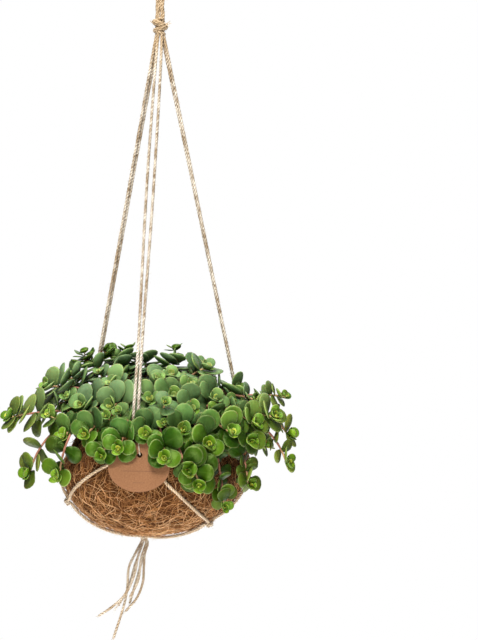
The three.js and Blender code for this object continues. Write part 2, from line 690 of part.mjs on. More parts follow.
for (const name of Object.keys(SPRAYS)) {
  const solids = [];
  for (const stem of stems.filter((each) => each.spray === name)) {
    solids.push(toSolid(tubeAlong(stem.curve, STEM_RADIUS, 4, STEM_SEGMENTS)));
    leaves.filter((leaf) => leaf.stem === stem).forEach((leaf) => solids.push(leafSolid(leaf)));
  }
  addPiece(hanging, `spray_${name}`, toGeometry(wasm.Manifold.union(solids)), leafMaterial());
}

// Root ball: soil that fills the wrap, with a plain hole along the first stretch of each spray's stem
const HOLE_RADIUS = STEM_RADIUS + 1.4;
const soilTop = new THREE.Vector2(0, SOIL_HEIGHT);
let soil = toSolid(turned([...bowlArc(WRAP_THICKNESS + GAP, SOIL_HEIGHT, 6), soilTop]));
for (const name of Object.keys(SPRAYS)) {
  const { route } = stems.find((stem) => stem.spray === name);
  const [foot, next] = route.map((point) => point.clone().applyAxisAngle(vec(0, 1, 0), BALL_TILT));
  const way = next.clone().sub(foot).normalize();
  const drill = new THREE.CylinderGeometry(HOLE_RADIUS, HOLE_RADIUS, foot.distanceTo(next), 4);
  drill.rotateX(Math.PI / 2);
  drill.applyQuaternion(new THREE.Quaternion().setFromUnitVectors(vec(0, 0, 1), way));
  const middle = between(foot, next, 0.5).addScaledVector(way, -4 * GAP);
  drill.translate(middle.x, middle.y, middle.z);
  soil = soil.subtract(toSolid(drill));
}
addPiece(hanging, 'root_ball', toGeometry(soil), soilMaterial()).rotation.y = -BALL_TILT;

export default root;
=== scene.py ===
import math

import bpy
import numpy as np
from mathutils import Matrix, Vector, noise


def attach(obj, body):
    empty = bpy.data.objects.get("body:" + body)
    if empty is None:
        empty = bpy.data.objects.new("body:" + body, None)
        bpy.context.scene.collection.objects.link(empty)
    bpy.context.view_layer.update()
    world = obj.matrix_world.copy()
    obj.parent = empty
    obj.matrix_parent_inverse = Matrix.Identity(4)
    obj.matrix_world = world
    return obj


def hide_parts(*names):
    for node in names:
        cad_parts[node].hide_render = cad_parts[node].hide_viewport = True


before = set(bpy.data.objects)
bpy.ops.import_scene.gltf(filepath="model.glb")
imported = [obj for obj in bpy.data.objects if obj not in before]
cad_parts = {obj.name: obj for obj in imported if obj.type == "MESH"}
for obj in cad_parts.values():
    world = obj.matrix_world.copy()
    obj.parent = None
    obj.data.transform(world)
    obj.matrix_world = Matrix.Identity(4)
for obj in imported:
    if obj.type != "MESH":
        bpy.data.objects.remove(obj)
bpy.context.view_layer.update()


# Room: white air, a pale floor far below the planter and five soft lamps. The camera stands where
# the photograph was taken from, a step to the right of the planter and level with its hanger.
MM = 0.001
CAMERA_PLACE = (78, -1492.7, -300.2)
CAMERA_DOWN = 2.33
FOCAL_PIXELS = 1500
PICTURE_HEIGHT = 640
SENSOR = 36
NEAREST = 0.05
FURTHEST = 50
AIM = (-5, 0, -470)
FLOOR_HEIGHT = -1000
FLOOR_RADIUS = 900
FLOOR_SIDES = 96
AIR_LIGHT = 0.19
LAMPS = {
    "window_lamp": {"place": (-140, -1280, 800), "width": 600, "power": 41, "colour": (1, 0.985, 0.955)},
    "top_lamp": {"place": (-150, -50, 1150), "width": 1100, "power": 36, "colour": (0.97, 0.985, 1)},
    "side_lamp": {"place": (1350, -700, -200), "width": 900, "power": 2, "colour": (1, 1, 1)},
    "back_lamp": {"place": (300, 1500, 300), "width": 1200, "power": 7, "colour": (1, 1, 1)},
    "bounce_lamp": {"place": (-100, -1250, -930), "width": 700, "power": 17, "colour": (1, 0.99, 0.97)},
}


class Wire:
    """An output in a node tree. Sums of wires and numbers add that tree's Math nodes."""

    def __init__(self, tree, socket=None):
        self.tree = tree
        self.socket = socket

    def node(self, kind, settings=None, inputs=None, output=0, **named):
        """A new node. Each keyword is an input's name, with underscores for its spaces."""
        made = self.tree.nodes.new(kind)
        for name, value in (settings or {}).items():
            if name == "stops":
                ramp = made.color_ramp
                while len(ramp.elements) < len(value):
                    ramp.elements.new(1.0)
                for element, (place, colour) in zip(ramp.elements, value):
                    element.position = place
                    element.color = (*colour, 1)
            else:
                setattr(made, name, value)
        named = {name.replace("_", " "): value for name, value in named.items()}
        for name, value in {**(inputs or {}), **named}.items():
            for each in value if isinstance(value, list) else [value]:
                if isinstance(each, Wire):
                    self.tree.links.new(each.socket, made.inputs[name])
                else:
                    made.inputs[name].default_value = each
        return Wire(self.tree, made.outputs[output])

    def other(self, output):
        return Wire(self.tree, self.socket.node.outputs[output])

    def axes(self):
        """The X, Y and Z of a place."""
        parts = self.node("ShaderNodeSeparateXYZ", Vector=self)
        return [parts.other(axis) for axis in "XYZ"]

    def math(self, operation, *values):
        return self.node("ShaderNodeMath", {"operation": operation}, dict(enumerate((self, *values))))

    def vector(self, operation, *values):
        return self.node("ShaderNodeVectorMath", {"operation": operation}, dict(enumerate((self, *values))))

    def scaled(self, factor):
        return self.node("ShaderNodeVectorMath", {"operation": "SCALE"}, {0: self}, Scale=factor)

    def mixed(self, a, b):
        """Colour a where this wire is 0 and colour b where it is 1."""
        pair = [each if isinstance(each, Wire) else (*each, 1) for each in (a, b)]
        return self.node("ShaderNodeMix", {"data_type": "RGBA"}, {0: self, 6: pair[0], 7: pair[1]}, output=2)

    def limited(self):
        return self.math("MAXIMUM", 0.0).math("MINIMUM", 1.0)

    def size(self):
        return self.math("ABSOLUTE")

    def __add__(self, value):
        return self.math("ADD", value)

    def __sub__(self, value):
        return self.math("SUBTRACT", value)

    def __rsub__(self, value):
        return (self * -1.0) + value

    def __mul__(self, value):
        return self.math("MULTIPLY", value)

    def __truediv__(self, value):
        return self.math("DIVIDE", value)

    def __pow__(self, value):
        return self.math("POWER", value)


def new_finish(name, **constants):
    """A material with one Principled shader, whose fixed numbers are set on its own sockets."""
    made = bpy.data.materials.new(name)
    made.use_nodes = True
    shader = made.node_tree.nodes["Principled BSDF"]
    for label, value in constants.items():
        shader.inputs[label.replace("_", " ")].default_value = value

    def feed(**wires):
        for label, wire in wires.items():
            made.node_tree.links.new(wire.socket, shader.inputs[label.replace("_", " ")])

    return made, Wire(made.node_tree), feed


def on_object(start):
    return start.node("ShaderNodeTexCoord", output="Object")


def grain(place, scale, detail=3.0, roughness=0.55):
    return place.node("ShaderNodeTexNoise", Vector=place, Scale=scale, Detail=detail, Roughness=roughness)


def new_object(name, data):
    made = bpy.data.objects.new(name, data)
    bpy.context.scene.collection.objects.link(made)
    return made


def plain_mesh(name, places, faces, edges=()):
    """A mesh from places in millimetres."""
    mesh = bpy.data.meshes.new(name)
    mesh.from_pydata((np.asarray(places) * MM).tolist(), edges, faces)
    mesh.update()
    return mesh


def full_turn(count):
    """Angles in even steps once round."""
    return np.linspace(0, 2 * math.pi, count, endpoint=False)


camera_data = bpy.data.cameras.new("camera")
camera_data.sensor_width = SENSOR
camera_data.lens = SENSOR * FOCAL_PIXELS / PICTURE_HEIGHT
camera_data.clip_start = NEAREST
camera_data.clip_end = FURTHEST
camera = new_object("camera", camera_data)
camera.location = Vector(CAMERA_PLACE) * MM
camera.rotation_euler = (math.radians(90 - CAMERA_DOWN), 0, 0)
bpy.context.scene.camera = camera
bpy.context.scene.view_settings.view_transform = "Standard"

for lamp_name, lamp in LAMPS.items():
    lamp_data = bpy.data.lights.new(lamp_name, "AREA")
    lamp_data.shape = "DISK"
    lamp_data.size = lamp["width"] * MM
    lamp_data.energy = lamp["power"]
    lamp_data.color = lamp["colour"]
    lamp_object = new_object(lamp_name, lamp_data)
    lamp_object.location = Vector(lamp["place"]) * MM
    way = Vector(AIM) - Vector(lamp["place"])
    lamp_object.rotation_euler = way.to_track_quat("-Z", "Y").to_euler()

air = bpy.data.worlds.new("white_air")
air.use_nodes = True
seen = Wire(air.node_tree).node("ShaderNodeLightPath", output="Is Camera Ray")
air_shader = air.node_tree.nodes["Background"]
air_shader.inputs["Color"].default_value = (1, 1, 1, 1)
air.node_tree.links.new((seen * (1 - AIR_LIGHT) + AIR_LIGHT).socket, air_shader.inputs["Strength"])
bpy.context.scene.world = air

floor_finish, start, feed = new_finish(
    "pale_floor", Roughness=0.8, Emission_Color=(1, 1, 1, 1), Emission_Strength=0.55,
)
feed(Base_Color=grain(on_object(start), 3.0).mixed((0.87, 0.87, 0.865), (0.92, 0.92, 0.915)))
angles = full_turn(FLOOR_SIDES)
floor_rim = FLOOR_RADIUS * np.stack([np.cos(angles), np.sin(angles), 0 * angles], -1) + [0, 0, FLOOR_HEIGHT]
floor_mesh = plain_mesh("floor", floor_rim, [list(range(FLOOR_SIDES))])
floor_mesh.materials.append(floor_finish)
floor = new_object("floor", floor_mesh)


# Tassel: six loose ends of the hanger's twine, under the bottom knot. Jute twine is three plies laid
# together, hairy all over; each end hangs free, bends to the left and is frayed where it was cut.
TWINE_RADIUS = 1.5
TWINE_STEP = 0.9
TWINE = {"Radius": TWINE_RADIUS, "Lay": 10.5, "Density": 90000, "Fuzz": 1.25, "Stain": 0.0, "Seed": 1}
TWINE_SIDES = 12
PLY_TURN = math.pi / 4
PLY_DEPTH = 0.18
HAIR_RADIUS = 0.06
HAIR_BRIGHTNESS = 1.3
HANDLED_LENGTH = 120
BALL_CENTRE = np.array([-5.5, 0, -510])
BALL_RADIUS = 92
BALL_HALF_HEIGHT = 65.5
BALL_TILT = math.radians(3.5)
BOTTOM_POINT = (-95, -64.6)
BOTTOM_KNOT_RADIUS = 4.4
STRAND_RING = 3.4
GAP = 0.3
TASSEL = {
    "long": (-90, [(-20, -4, -84), (-26.5, -5, -98), (-28, -5, -117), (-31, -5, -134), (-42, -6, -169)]),
    "left": (-30, [(-17, -9, -86), (-21, -11, -105), (-30, -12, -124), (-44, -13, -137), (-56, -13, -145)]),
    "short": (30, [(-14, -7, -88), (-17, -8, -110), (-25, -8, -127)]),
    "right": (90, [(-11, 0, -86), (-12, 1, -99), (-13, 1, -114), (-19, 0, -130), (-30, -1, -143)]),
    "back": (150, [(-13, 6, -88), (-16, 10, -100), (-22, 11, -121), (-27, 11, -138)]),
    "frayed": (-150, [(-17, 4, -86), (-21.5, 6, -99), (-28, 6, -121), (-38, 6, -139)]),
}
LOOSE_TWINE = {"Radius": 1.3, "Fuzz": 0.72, "Stain": 0.35, "Seed": 5}
FRAY_RADIUS = 0.16
FRAY_BRIGHTNESS = 0.95
FRAY_COUNT = 12
FRAY_LENGTH = {"long": 5, "left": 5, "short": 4, "right": 6, "back": 5, "frayed": 11}
FRAY_REACH = (0.5, 1.1)
FRAY_SPREAD = 0.28
FRAY_ASIDE = (0.3, 1.0)


def unit(vectors):
    vectors = np.asarray(vectors, float)
    return vectors / np.linalg.norm(vectors, axis=-1, keepdims=True)


def tilted(place, angle=BALL_TILT):
    """The ball hangs a few degrees askew, with its right side higher."""
    x, y, z = np.moveaxis(np.asarray(place, float), -1, 0)
    turned_x = x * math.cos(angle) - z * math.sin(angle)
    return np.stack([turned_x, y, x * math.sin(angle) + z * math.cos(angle)], -1)


def ball_way(azimuth, height):
    """A direction on a round ball of radius 1: degrees to the right of the front, and a height."""
    turn = math.radians(azimuth)
    reach = math.sqrt(1 - (height / BALL_HALF_HEIGHT) ** 2)
    return np.array([reach * math.sin(turn), -reach * math.cos(turn), height / BALL_HALF_HEIGHT])


def over_ball(way, lift):
    """Where that direction comes out of the squashed and tilted ball, and as far above it as the lift."""
    squash = BALL_RADIUS / BALL_HALF_HEIGHT
    return tilted(BALL_RADIUS * way * [1, 1, 1 / squash] + lift * unit(way * [1, 1, squash]))


def on_ball(azimuth, height, lift):
    return over_ball(ball_way(azimuth, height), lift)


def ring_place(azimuth):
    """Where a strand runs, seen from the middle of its bundle."""
    turn = math.radians(azimuth)
    return STRAND_RING * np.array([math.sin(turn), -math.cos(turn), 0])


def step_lengths(line):
    return np.linalg.norm(np.diff(line, axis=0), axis=1)


def route_length(line):
    return float(step_lengths(line).sum())


def distances_along(line):
    return np.concatenate([[0], np.cumsum(step_lengths(line))])


def spaced(line, step):
    """The same line in even steps of about that length."""
    lengths = distances_along(line)
    count = max(2, round(lengths[-1] / step))
    marks = np.linspace(0, lengths[-1], count + 1)
    return np.stack([np.interp(marks, lengths, line[:, axis]) for axis in range(3)], -1)


def smooth(points, step):
    """A smooth line through the points, as a rope lies through the places that hold it."""
    points = np.asarray(points, float)
    points = np.vstack([2 * points[0] - points[1], points, 2 * points[-1] - points[-2]])
    line = [points[1:2]]
    for before, first, last, after in zip(points, points[1:], points[2:], points[3:]):
        gaps = [np.linalg.norm(b - a) ** 0.5 for a, b in ((before, first), (first, last), (last, after))]
        leave = (first - before) / gaps[0] - (last - before) / (gaps[0] + gaps[1]) + (last - first) / gaps[1]
        arrive = (last - first) / gaps[1] - (after - first) / (gaps[1] + gaps[2]) + (after - last) / gaps[2]
        t = np.linspace(0, 1, 25)[1:, None]
        rise = (3 - 2 * t) * t**2
        bent = (t**3 - 2 * t**2 + t) * leave + (t**3 - t**2) * arrive
        line.append(first * (1 - rise) + last * rise + bent * gaps[1])
    return spaced(np.vstack(line), step)


def lines_mesh(name, lines, closed=False):
    """A mesh of edges only, one chain for each line of places in millimetres."""
    edges, places = [], []
    for line in lines:
        first = len(places)
        places.extend(line)
        edges.extend((first + i, first + i + 1) for i in range(len(line) - 1))
        if closed:
            edges.append((len(places) - 1, first))
    return plain_mesh(name, places, [], edges)


KINDS = {
    "Finish": "NodeSocketMaterial",
    "Bark": "NodeSocketMaterial",
    "Seed": "NodeSocketInt",
    "Shape": "NodeSocketObject",
}
LENGTHS = ("Radius", "Lay", "Length", "Thickness", "Lift", "Loose", "Wander")


def new_rule(name, *labels):
    """A Geometry Nodes tree with a named input for each label, and wires from its inputs."""
    tree = bpy.data.node_groups.new(name, "GeometryNodeTree")
    tree.interface.new_socket("Geometry", in_out="INPUT", socket_type="NodeSocketGeometry")
    tree.interface.new_socket("Geometry", in_out="OUTPUT", socket_type="NodeSocketGeometry")
    for label in labels:
        tree.interface.new_socket(label, in_out="INPUT", socket_type=KINDS.get(label, "NodeSocketFloat"))
    entry = tree.nodes.new("NodeGroupInput")
    wires = {label: Wire(tree, entry.outputs[label]) for label in ("Geometry", *labels)}
    return Wire(tree), wires


def realized(made):
    return made.node("GeometryNodeRealizeInstances", Geometry=made)


def close_rule(made):
    leave = made.tree.nodes.new("NodeGroupOutput")
    made.tree.links.new(realized(made).socket, leave.inputs[0])
    return made.tree


def dressed(made, finish):
    return made.node("GeometryNodeSetMaterial", Geometry=made, Material=finish)


def stored(made, name, value, domain="POINT"):
    settings = {"data_type": "FLOAT", "domain": domain}
    return made.node("GeometryNodeStoreNamedAttribute", settings, Geometry=made, Name=name, Value=value)


def between(start, low, high, seed):
    settings = {"data_type": "FLOAT"}
    return start.node("FunctionNodeRandomValue", settings, {2: low, 3: high}, output=1, Seed=seed)


def moved(made, **how):
    return made.node("GeometryNodeSetPosition", Geometry=made, **how)


def strewn(ground, wires, shape, scale, seed, **where):
    """The shape at random spots of the ground, turned at random about the way that the ground faces."""
    spread = {"Mesh": ground, "Density": wires["Density"], "Seed": wires["Seed"]}
    spots = ground.node("GeometryNodeDistributePointsOnFaces", inputs=spread, **where)
    angle = between(spots, 0.0, 2 * math.pi, seed)
    spin = spots.node("FunctionNodeAxisAngleToRotation", Axis=(0, 0, 1), Angle=angle)
    local = {"rotation_space": "LOCAL"}
    facing = spots.node("FunctionNodeRotateRotation", local, Rotation=spots.other("Rotation"), Rotate_By=spin)
    inputs = {"Points": spots, "Instance": shape, "Rotation": facing, "Scale": scale}
    return spots.node("GeometryNodeInstanceOnPoints", inputs=inputs)


def tube_along(line, section, scale):
    inputs = {"Curve": line, "Profile Curve": section, "Scale": scale, "Fill Caps": True}
    return line.node("GeometryNodeCurveToMesh", inputs=inputs)


def round_section(start, sides, radius):
    return start.node("GeometryNodeCurvePrimitiveCircle", Resolution=sides, Radius=radius)


def bumped(height, distance):
    return height.node("ShaderNodeBump", Distance=distance, Height=height)


def painted(start, name, kind="Fac"):
    return start.node("ShaderNodeAttribute", {"attribute_name": name}, output=kind)


def hand_over(piece, slot, *nodes):
    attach(piece, "root")
    if nodes:
        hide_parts(*nodes)
    return piece


def grow(name, mesh, rule, slot, *nodes, **values):
    """What the rule makes of the mesh, as a piece with a plain mesh. Lengths are in millimetres."""
    piece = new_object(name, mesh)
    modifier = piece.modifiers.new("rule", "NODES")
    modifier.node_group = rule
    for socket in rule.interface.items_tree:
        if socket.in_out == "INPUT" and socket.name in values:
            value = values[socket.name]
            modifier[socket.identifier] = value * MM if socket.name in LENGTHS else value
    graph = bpy.context.evaluated_depsgraph_get()
    made = bpy.data.meshes.new_from_object(piece.evaluated_get(graph), depsgraph=graph)
    piece.modifiers.clear()
    piece.data = made
    made.shade_smooth()
    return hand_over(piece, slot, *nodes)


start, wires = new_rule("laid_twine", "Radius", "Lay", "Density", "Fuzz", "Stain", "Seed", "Finish")
along = start.node("GeometryNodeSplineParameter", output="Length")
line = start.node("GeometryNodeMeshToCurve", Mesh=wires["Geometry"])
line = start.node("GeometryNodeSetCurveTilt", Curve=line, Tilt=along * (2 * math.pi) / wires["Lay"])
# The crest of each ply is 1 and the groove between plies 0; the finish paints the grooves darker, as painted
# shade on top of their depth. Hairs and frayed fibres get a fixed crest.
crest = (start.node("GeometryNodeInputIndex") * PLY_TURN).math("COSINE").size()
section = stored(round_section(start, TWINE_SIDES, wires["Radius"]), "crest", crest)
spot = start.node("GeometryNodeInputPosition")
section = moved(section, Position=spot.scaled(crest * PLY_DEPTH + (1 - PLY_DEPTH)))
uneven = grain(spot, 110.0, 2.0) * 0.4 + 0.84
twine = tube_along(line, section, uneven)
hair = start.node(
    "GeometryNodeCurveQuadraticBezier",
    Resolution=4, Start=(0, 0, -0.0002), Middle=(0.0016, 0, 0.0003), End=(0.0028, 0.0006, 0.0016),
)
hairs = realized(strewn(twine, wires, hair, between(start, 0.3, 1.0, 4) * wires["Fuzz"], 3))
hairs = stored(tube_along(hairs, round_section(start, 3, HAIR_RADIUS * MM), 1.0), "crest", HAIR_BRIGHTNESS)
twine = start.node("GeometryNodeJoinGeometry", Geometry=[twine, hairs])
twine_rule = close_rule(dressed(stored(twine, "stain", wires["Stain"]), wires["Finish"]))

start, wires = new_rule("loose_fibres", "Radius", "Finish")
line = start.node("GeometryNodeMeshToCurve", Mesh=wires["Geometry"])
share = start.node("GeometryNodeSplineParameter", output="Factor")
fibre = tube_along(line, round_section(start, 4, 1.0), (1 - share * 0.7) * wires["Radius"])
fibre_rule = close_rule(dressed(stored(fibre, "crest", FRAY_BRIGHTNESS), wires["Finish"]))

twine_finish, start, feed = new_finish("jute_twine", Roughness=0.9, Specular_IOR_Level=0.2, Sheen_Weight=0.15)
spot = on_object(start)
strands = grain(spot, 900.0, 4.0, 0.7)
patches = grain(spot, 70.0, 2.0) * 0.6 + grain(spot, 330.0, 2.0) * 0.5
# Painted shade: the twine is darker in the grooves between its plies, where the crest is low.
pale = (painted(start, "crest") * 0.7 + strands * 2.6 - 1.4).limited()
colour = pale.mixed((0.075, 0.045, 0.022), (0.46, 0.34, 0.21))
colour = (patches * 6.0 - 2.7).limited().mixed(colour, pale.mixed((0.2, 0.155, 0.11), (0.93, 0.86, 0.73)))
colour = painted(start, "stain").mixed(colour, pale.mixed((0.22, 0.125, 0.055), (0.84, 0.66, 0.45)))
handled = ((spot.axes()[2] + HANDLED_LENGTH * MM) * 28.0).limited() * 0.85
colour = handled.mixed(colour, pale.mixed((0.17, 0.1, 0.04), (0.62, 0.46, 0.28)))
feed(Base_Color=colour, Normal=bumped(strands, 0.0003))


def twine_piece(name, lines, *nodes, closed=False, **changes):
    """Twine along one or more lines in the row frame, in millimetres."""
    values = {**TWINE, "Finish": twine_finish, **changes}
    return grow(name, lines_mesh(name, lines, closed), twine_rule, "twine", *nodes, **values)


bottom_knot_place = on_ball(*BOTTOM_POINT, BOTTOM_KNOT_RADIUS + GAP)
chance = np.random.default_rng(41)
for tassel_name, (azimuth, places) in TASSEL.items():
    ring = ring_place(azimuth)
    leaving = bottom_knot_place + ring - [0, 0, BOTTOM_KNOT_RADIUS]
    route = smooth([bottom_knot_place + 0.4 * ring, leaving, *places], TWINE_STEP) + BALL_CENTRE
    strand = twine_piece(f"twine_end_{tassel_name}", [route], f"tassel_{tassel_name}", **LOOSE_TWINE)
    end, ahead = route[-3], unit(route[-1] - route[-6])
    frays = []
    for _ in range(FRAY_COUNT):
        aside = chance.normal(size=3)
        aside -= aside.dot(ahead) * ahead
        reach = np.linspace(0, FRAY_LENGTH[tassel_name] * chance.uniform(*FRAY_REACH), 6)[:, None]
        spread = FRAY_SPREAD * chance.uniform(*FRAY_ASIDE) * aside
        frays.append(end + 0.5 * unit(aside) + reach * ahead + spread * reach**1.4 / 3)
    fray_name = f"frayed_end_{tassel_name}"
    frays = lines_mesh(fray_name, frays)
    fray = grow(fray_name, frays, fibre_rule, "twine", Radius=FRAY_RADIUS, Finish=twine_finish)
    (route[0] * MM).tolist()
    (route * MM).tolist()


# Knots: each is an overhand knot pulled tight in two strands of the same twine. One holds the strands
# under the ball, three sit where the legs meet it, and three lower ones join its net.
BALL_KNOT_RADIUS = 4.6
KNOT_LIFT = BALL_KNOT_RADIUS + GAP
KNOT_HAIRS = 60000
KNOT_TWINE = {"closed": True, "Radius": 1.2, "Density": KNOT_HAIRS, "Stain": 0.4, "Seed": 9}
# A loop's place out of the ball, share of the knot's size and twist; a collar's rise, share and lean.
KNOT_LOOPS = ((0, 1, 0), (-0.6, 0.78, 1))
KNOT_COLLARS = ((0, 0.62, 0.35), (0.5, 0.55, -0.4))
RIM_KNOTS = {"front": (-10, 41), "right": (100, 14.5), "left": (-120, 34)}
SIDE_KNOTS = {"right": (53, -48), "left": (-72, -21), "back": (175, -35)}


def overhand(centre, outward, upward, size, twist, steps=64):
    """A closed three-leaved knot of that size, flat against what is behind it."""
    outward = unit(outward)
    across = unit(np.cross(upward, outward))
    upward = np.cross(outward, across)
    t = full_turn(steps)
    right = np.sin(t) + 2 * np.sin(2 * t)
    up = np.cos(t) - 2 * np.cos(2 * t)
    out = -1.15 * np.sin(3 * t)
    right, up = right * math.cos(twist) - up * math.sin(twist), right * math.sin(twist) + up * math.cos(twist)
    return centre + size / 3 * (np.outer(right, across) + np.outer(up, upward) + np.outer(out, outward))


def collar(centre, axis, radius, lean, steps=28):
    """A turn of twine round an axis, leaning by some angle."""
    axis = unit(axis)
    across = unit(np.cross(axis, [0.3, 1, 0.2]))
    ahead = np.cross(axis, across)
    t = full_turn(steps)
    ring = np.outer(np.cos(t), across) + np.outer(np.sin(t), ahead)
    return centre + radius * (ring + math.tan(lean) * np.outer(np.sin(t + 0.7), axis))


def tight_knot(name, place, radius, up, twist, node):
    outward = unit(place * [1, 1, 2])
    inner = radius - TWINE_RADIUS
    lines = []
    for out, share, turn in KNOT_LOOPS:
        lines.append(overhand(place + out * outward, outward, up, inner * share, twist + turn))
    for rise, share, lean in KNOT_COLLARS:
        lines.append(collar(place + rise * unit(up), up, inner * share, lean))
    return twine_piece(name, [line + BALL_CENTRE for line in lines], node, **KNOT_TWINE)


knot_places = {}
for row, spots, up, twist in (("rim", RIM_KNOTS, (0, 0, 1), 0.4), ("side", SIDE_KNOTS, (0.3, 0, 1), 1.2)):
    knot_places[row] = {side: on_ball(*spot, KNOT_LIFT) for side, spot in spots.items()}
    for number, (side, place) in enumerate(knot_places[row].items()):
        knot_name = f"{row}_knot_{side}"
        tight_knot(f"tied_{knot_name}", place, BALL_KNOT_RADIUS, up, twist + number, knot_name)
tight_knot("tied_bottom_knot", bottom_knot_place, BOTTOM_KNOT_RADIUS, (0.1, 0, 1), 0.2, "bottom_knot")


# Legs: two strands of twine each, pulled straight by the ball's weight. They come out of the top
# knot together and each pair ends in a knot on the ball; the front pair bows apart a little.
TOP_KNOT_HEIGHT = -70
TOP_KNOT_HALF_HEIGHT = 8
LEG_BOWED_AT = 0.38
LEG_CLOSED_AT = 0.8
LEGS = {"front": ((-30, 30), 1.7), "right": ((90, 150), 0.3), "left": ((-90, -150), 0.3)}
INTO_TOP_KNOT = (0, 0, 7)
INTO_BALL_KNOT = 0.8
leg_top = np.array([0, 0, TOP_KNOT_HEIGHT - TOP_KNOT_HALF_HEIGHT - GAP]) - BALL_CENTRE
leg_routes = []
for side, (azimuths, bow) in LEGS.items():
    knot_place = knot_places["rim"][side]
    down = unit(knot_place - leg_top)
    across = unit([-knot_place[1], knot_place[0], 0])
    for index, azimuth in enumerate(azimuths):
        leg_start = leg_top + ring_place(azimuth)
        way = np.sign((leg_start - leg_top) @ across) or (-1 if index == 0 else 1)
        leg_end = knot_place - (BALL_KNOT_RADIUS + GAP) * down + way * (TWINE_RADIUS + GAP) * across
        bowed = leg_start + LEG_BOWED_AT * (leg_end - leg_start) + way * bow * across
        closing = leg_start + LEG_CLOSED_AT * (leg_end - leg_start)
        leg_routes.append(np.array([leg_start, bowed, closing, leg_end]))
        out_of_top = leg_top + INTO_TOP_KNOT + 0.5 * (leg_start - leg_top)
        route = [out_of_top, *leg_routes[-1], knot_place + way * INTO_BALL_KNOT * across]
        route = smooth(route, TWINE_STEP) + BALL_CENTRE
        leg_name = f"leg_{side}_{index + 1}"
        twine_piece(f"twine_{leg_name}", [route], leg_name, Seed=11 + index)


# Net: single strands of twine run from each rim knot to the lower knots, flat on the coir, and a
# pair of strands runs from each lower knot to the bottom knot.
TWINE_LIFT = TWINE_RADIUS + 0.65
NET_STEP = 13
NET = [
    ("front", "left", [(-25, 18)]), ("front", "right", [(9.6, -2)]), ("right", "right", []),
    ("right", "back", []), ("left", "back", []), ("left", "left", []),
]
NET_END = BALL_KNOT_RADIUS + 2 * GAP
BASE_END = BOTTOM_KNOT_RADIUS + 2 * GAP
PAIR_PRESS = 0.3


def ball_route(first, last, short):
    """Places on the shortest way over the ball, from one knot to another, a little short of both."""
    whole = np.linalg.norm(on_ball(*first, 0) - on_ball(*last, 0))
    shares = np.linspace(short[0] / whole, 1 - short[1] / whole, round(whole / NET_STEP) + 1)
    leaving, arriving = ball_way(*first), ball_way(*last)
    return over_ball(unit(leaving + np.outer(shares, arriving - leaving)), TWINE_LIFT)


net_routes = []
for rim, side, via in NET:
    stops = [RIM_KNOTS[rim], *via, SIDE_KNOTS[side]]
    if via:
        halves = ball_route(*stops[:2], (NET_END, 0)), ball_route(*stops[1:], (0, NET_END))
        route = np.vstack([halves[0], halves[1][1:]])
    else:
        route = ball_route(*stops, (NET_END, NET_END))
    net_routes.append(route)
    tied = smooth([knot_places["rim"][rim], *route, knot_places["side"][side]], TWINE_STEP) + BALL_CENTRE
    twine_piece(f"net_strand_{rim}_to_{side}", [tied], f"net_{rim}_to_{side}", Stain=0.85, Seed=21)
for side, spot in SIDE_KNOTS.items():
    route = ball_route(spot, BOTTOM_POINT, (NET_END, BASE_END))
    across = unit(np.cross(np.gradient(route, axis=0), route))
    pair = []
    for way in (-1, 1):
        beside = route + way * (TWINE_RADIUS - PAIR_PRESS) * across
        pair.append(smooth([knot_places["side"][side], *beside, bottom_knot_place], TWINE_STEP) + BALL_CENTRE)
    twine_piece(f"base_pair_{side}", pair, f"base_strands_{side}", Stain=0.6, Seed=23)


# Hanging loop and top knot: the hanger's strands run on up from the top knot, twisted into a cord of
# three, and turn back in an eye for the hook. The knot is the whole bundle tied round itself.
LOOP_STRAND_RADIUS = 2.1
LOOP_EYE_RADIUS = 8
LOOP_EYE_HEIGHT = LOOP_STRAND_RADIUS - LOOP_EYE_RADIUS
LOOP_FOOT = 13
LOOP_CLOSED = 20
LOOP_OPEN = 32
LOOP_SHOULDER = 0.85 * LOOP_EYE_RADIUS
BUNDLE_LAY = 34
BUNDLE_RADIUS = 1.15
TOP_WRAPS = {
    "over": {"radius": 4.9, "slope": -0.5, "rise": 1.2, "strands": 5, "spread": 2.0},
    "under": {"radius": 4.4, "slope": 0.35, "rise": -3.2, "strands": 3, "spread": 1.4},
    "neck": {"radius": 3.4, "slope": 0.15, "rise": 6.4, "strands": 1, "spread": 0},
    "foot": {"radius": 4.4, "slope": -0.2, "rise": -7.2, "strands": 1, "spread": 0},
}
STUB_TIPS = ((11.2, -3.5, 2.2), (10.2, -2.0, 4.6), (9.4, -4.6, -1.2), (-9.8, -3, 4.5))
STUB_RADIUS = 0.75


def bundle(line, radius, across, lay, count=3):
    """Strands laid round a line, in even steps."""
    ahead = unit(np.gradient(line, axis=0))
    side = unit(np.cross(ahead, across))
    other = np.cross(ahead, side)
    length = distances_along(line)
    strands = []
    for number in range(count):
        turn = 2 * math.pi * (number / count + length / lay)
        strands.append(line + radius * (np.cos(turn)[:, None] * side + np.sin(turn)[:, None] * other))
    return strands


foot = TOP_KNOT_HEIGHT + TOP_KNOT_HALF_HEIGHT + GAP
beside = LOOP_STRAND_RADIUS + GAP
rising = [(-beside, 0, height) for height in (foot - LOOP_FOOT, foot, foot + LOOP_CLOSED)]
rising.append((-LOOP_SHOULDER, 0, foot + LOOP_OPEN))
arch = []
for angle in range(180, -1, -30):
    turn = math.radians(angle)
    arch.append((LOOP_EYE_RADIUS * math.cos(turn), 0, LOOP_EYE_HEIGHT + LOOP_EYE_RADIUS * math.sin(turn)))
falling = [(-x, y, z) for x, y, z in reversed(rising)]
loop_line = smooth([*rising, *arch, *falling], TWINE_STEP)
loop_strands = bundle(loop_line, BUNDLE_RADIUS, (0, 1, 0), BUNDLE_LAY)
twine_piece("loop_of_twine", loop_strands, "hanging_loop", Radius=1.35, Density=KNOT_HAIRS, Seed=31)

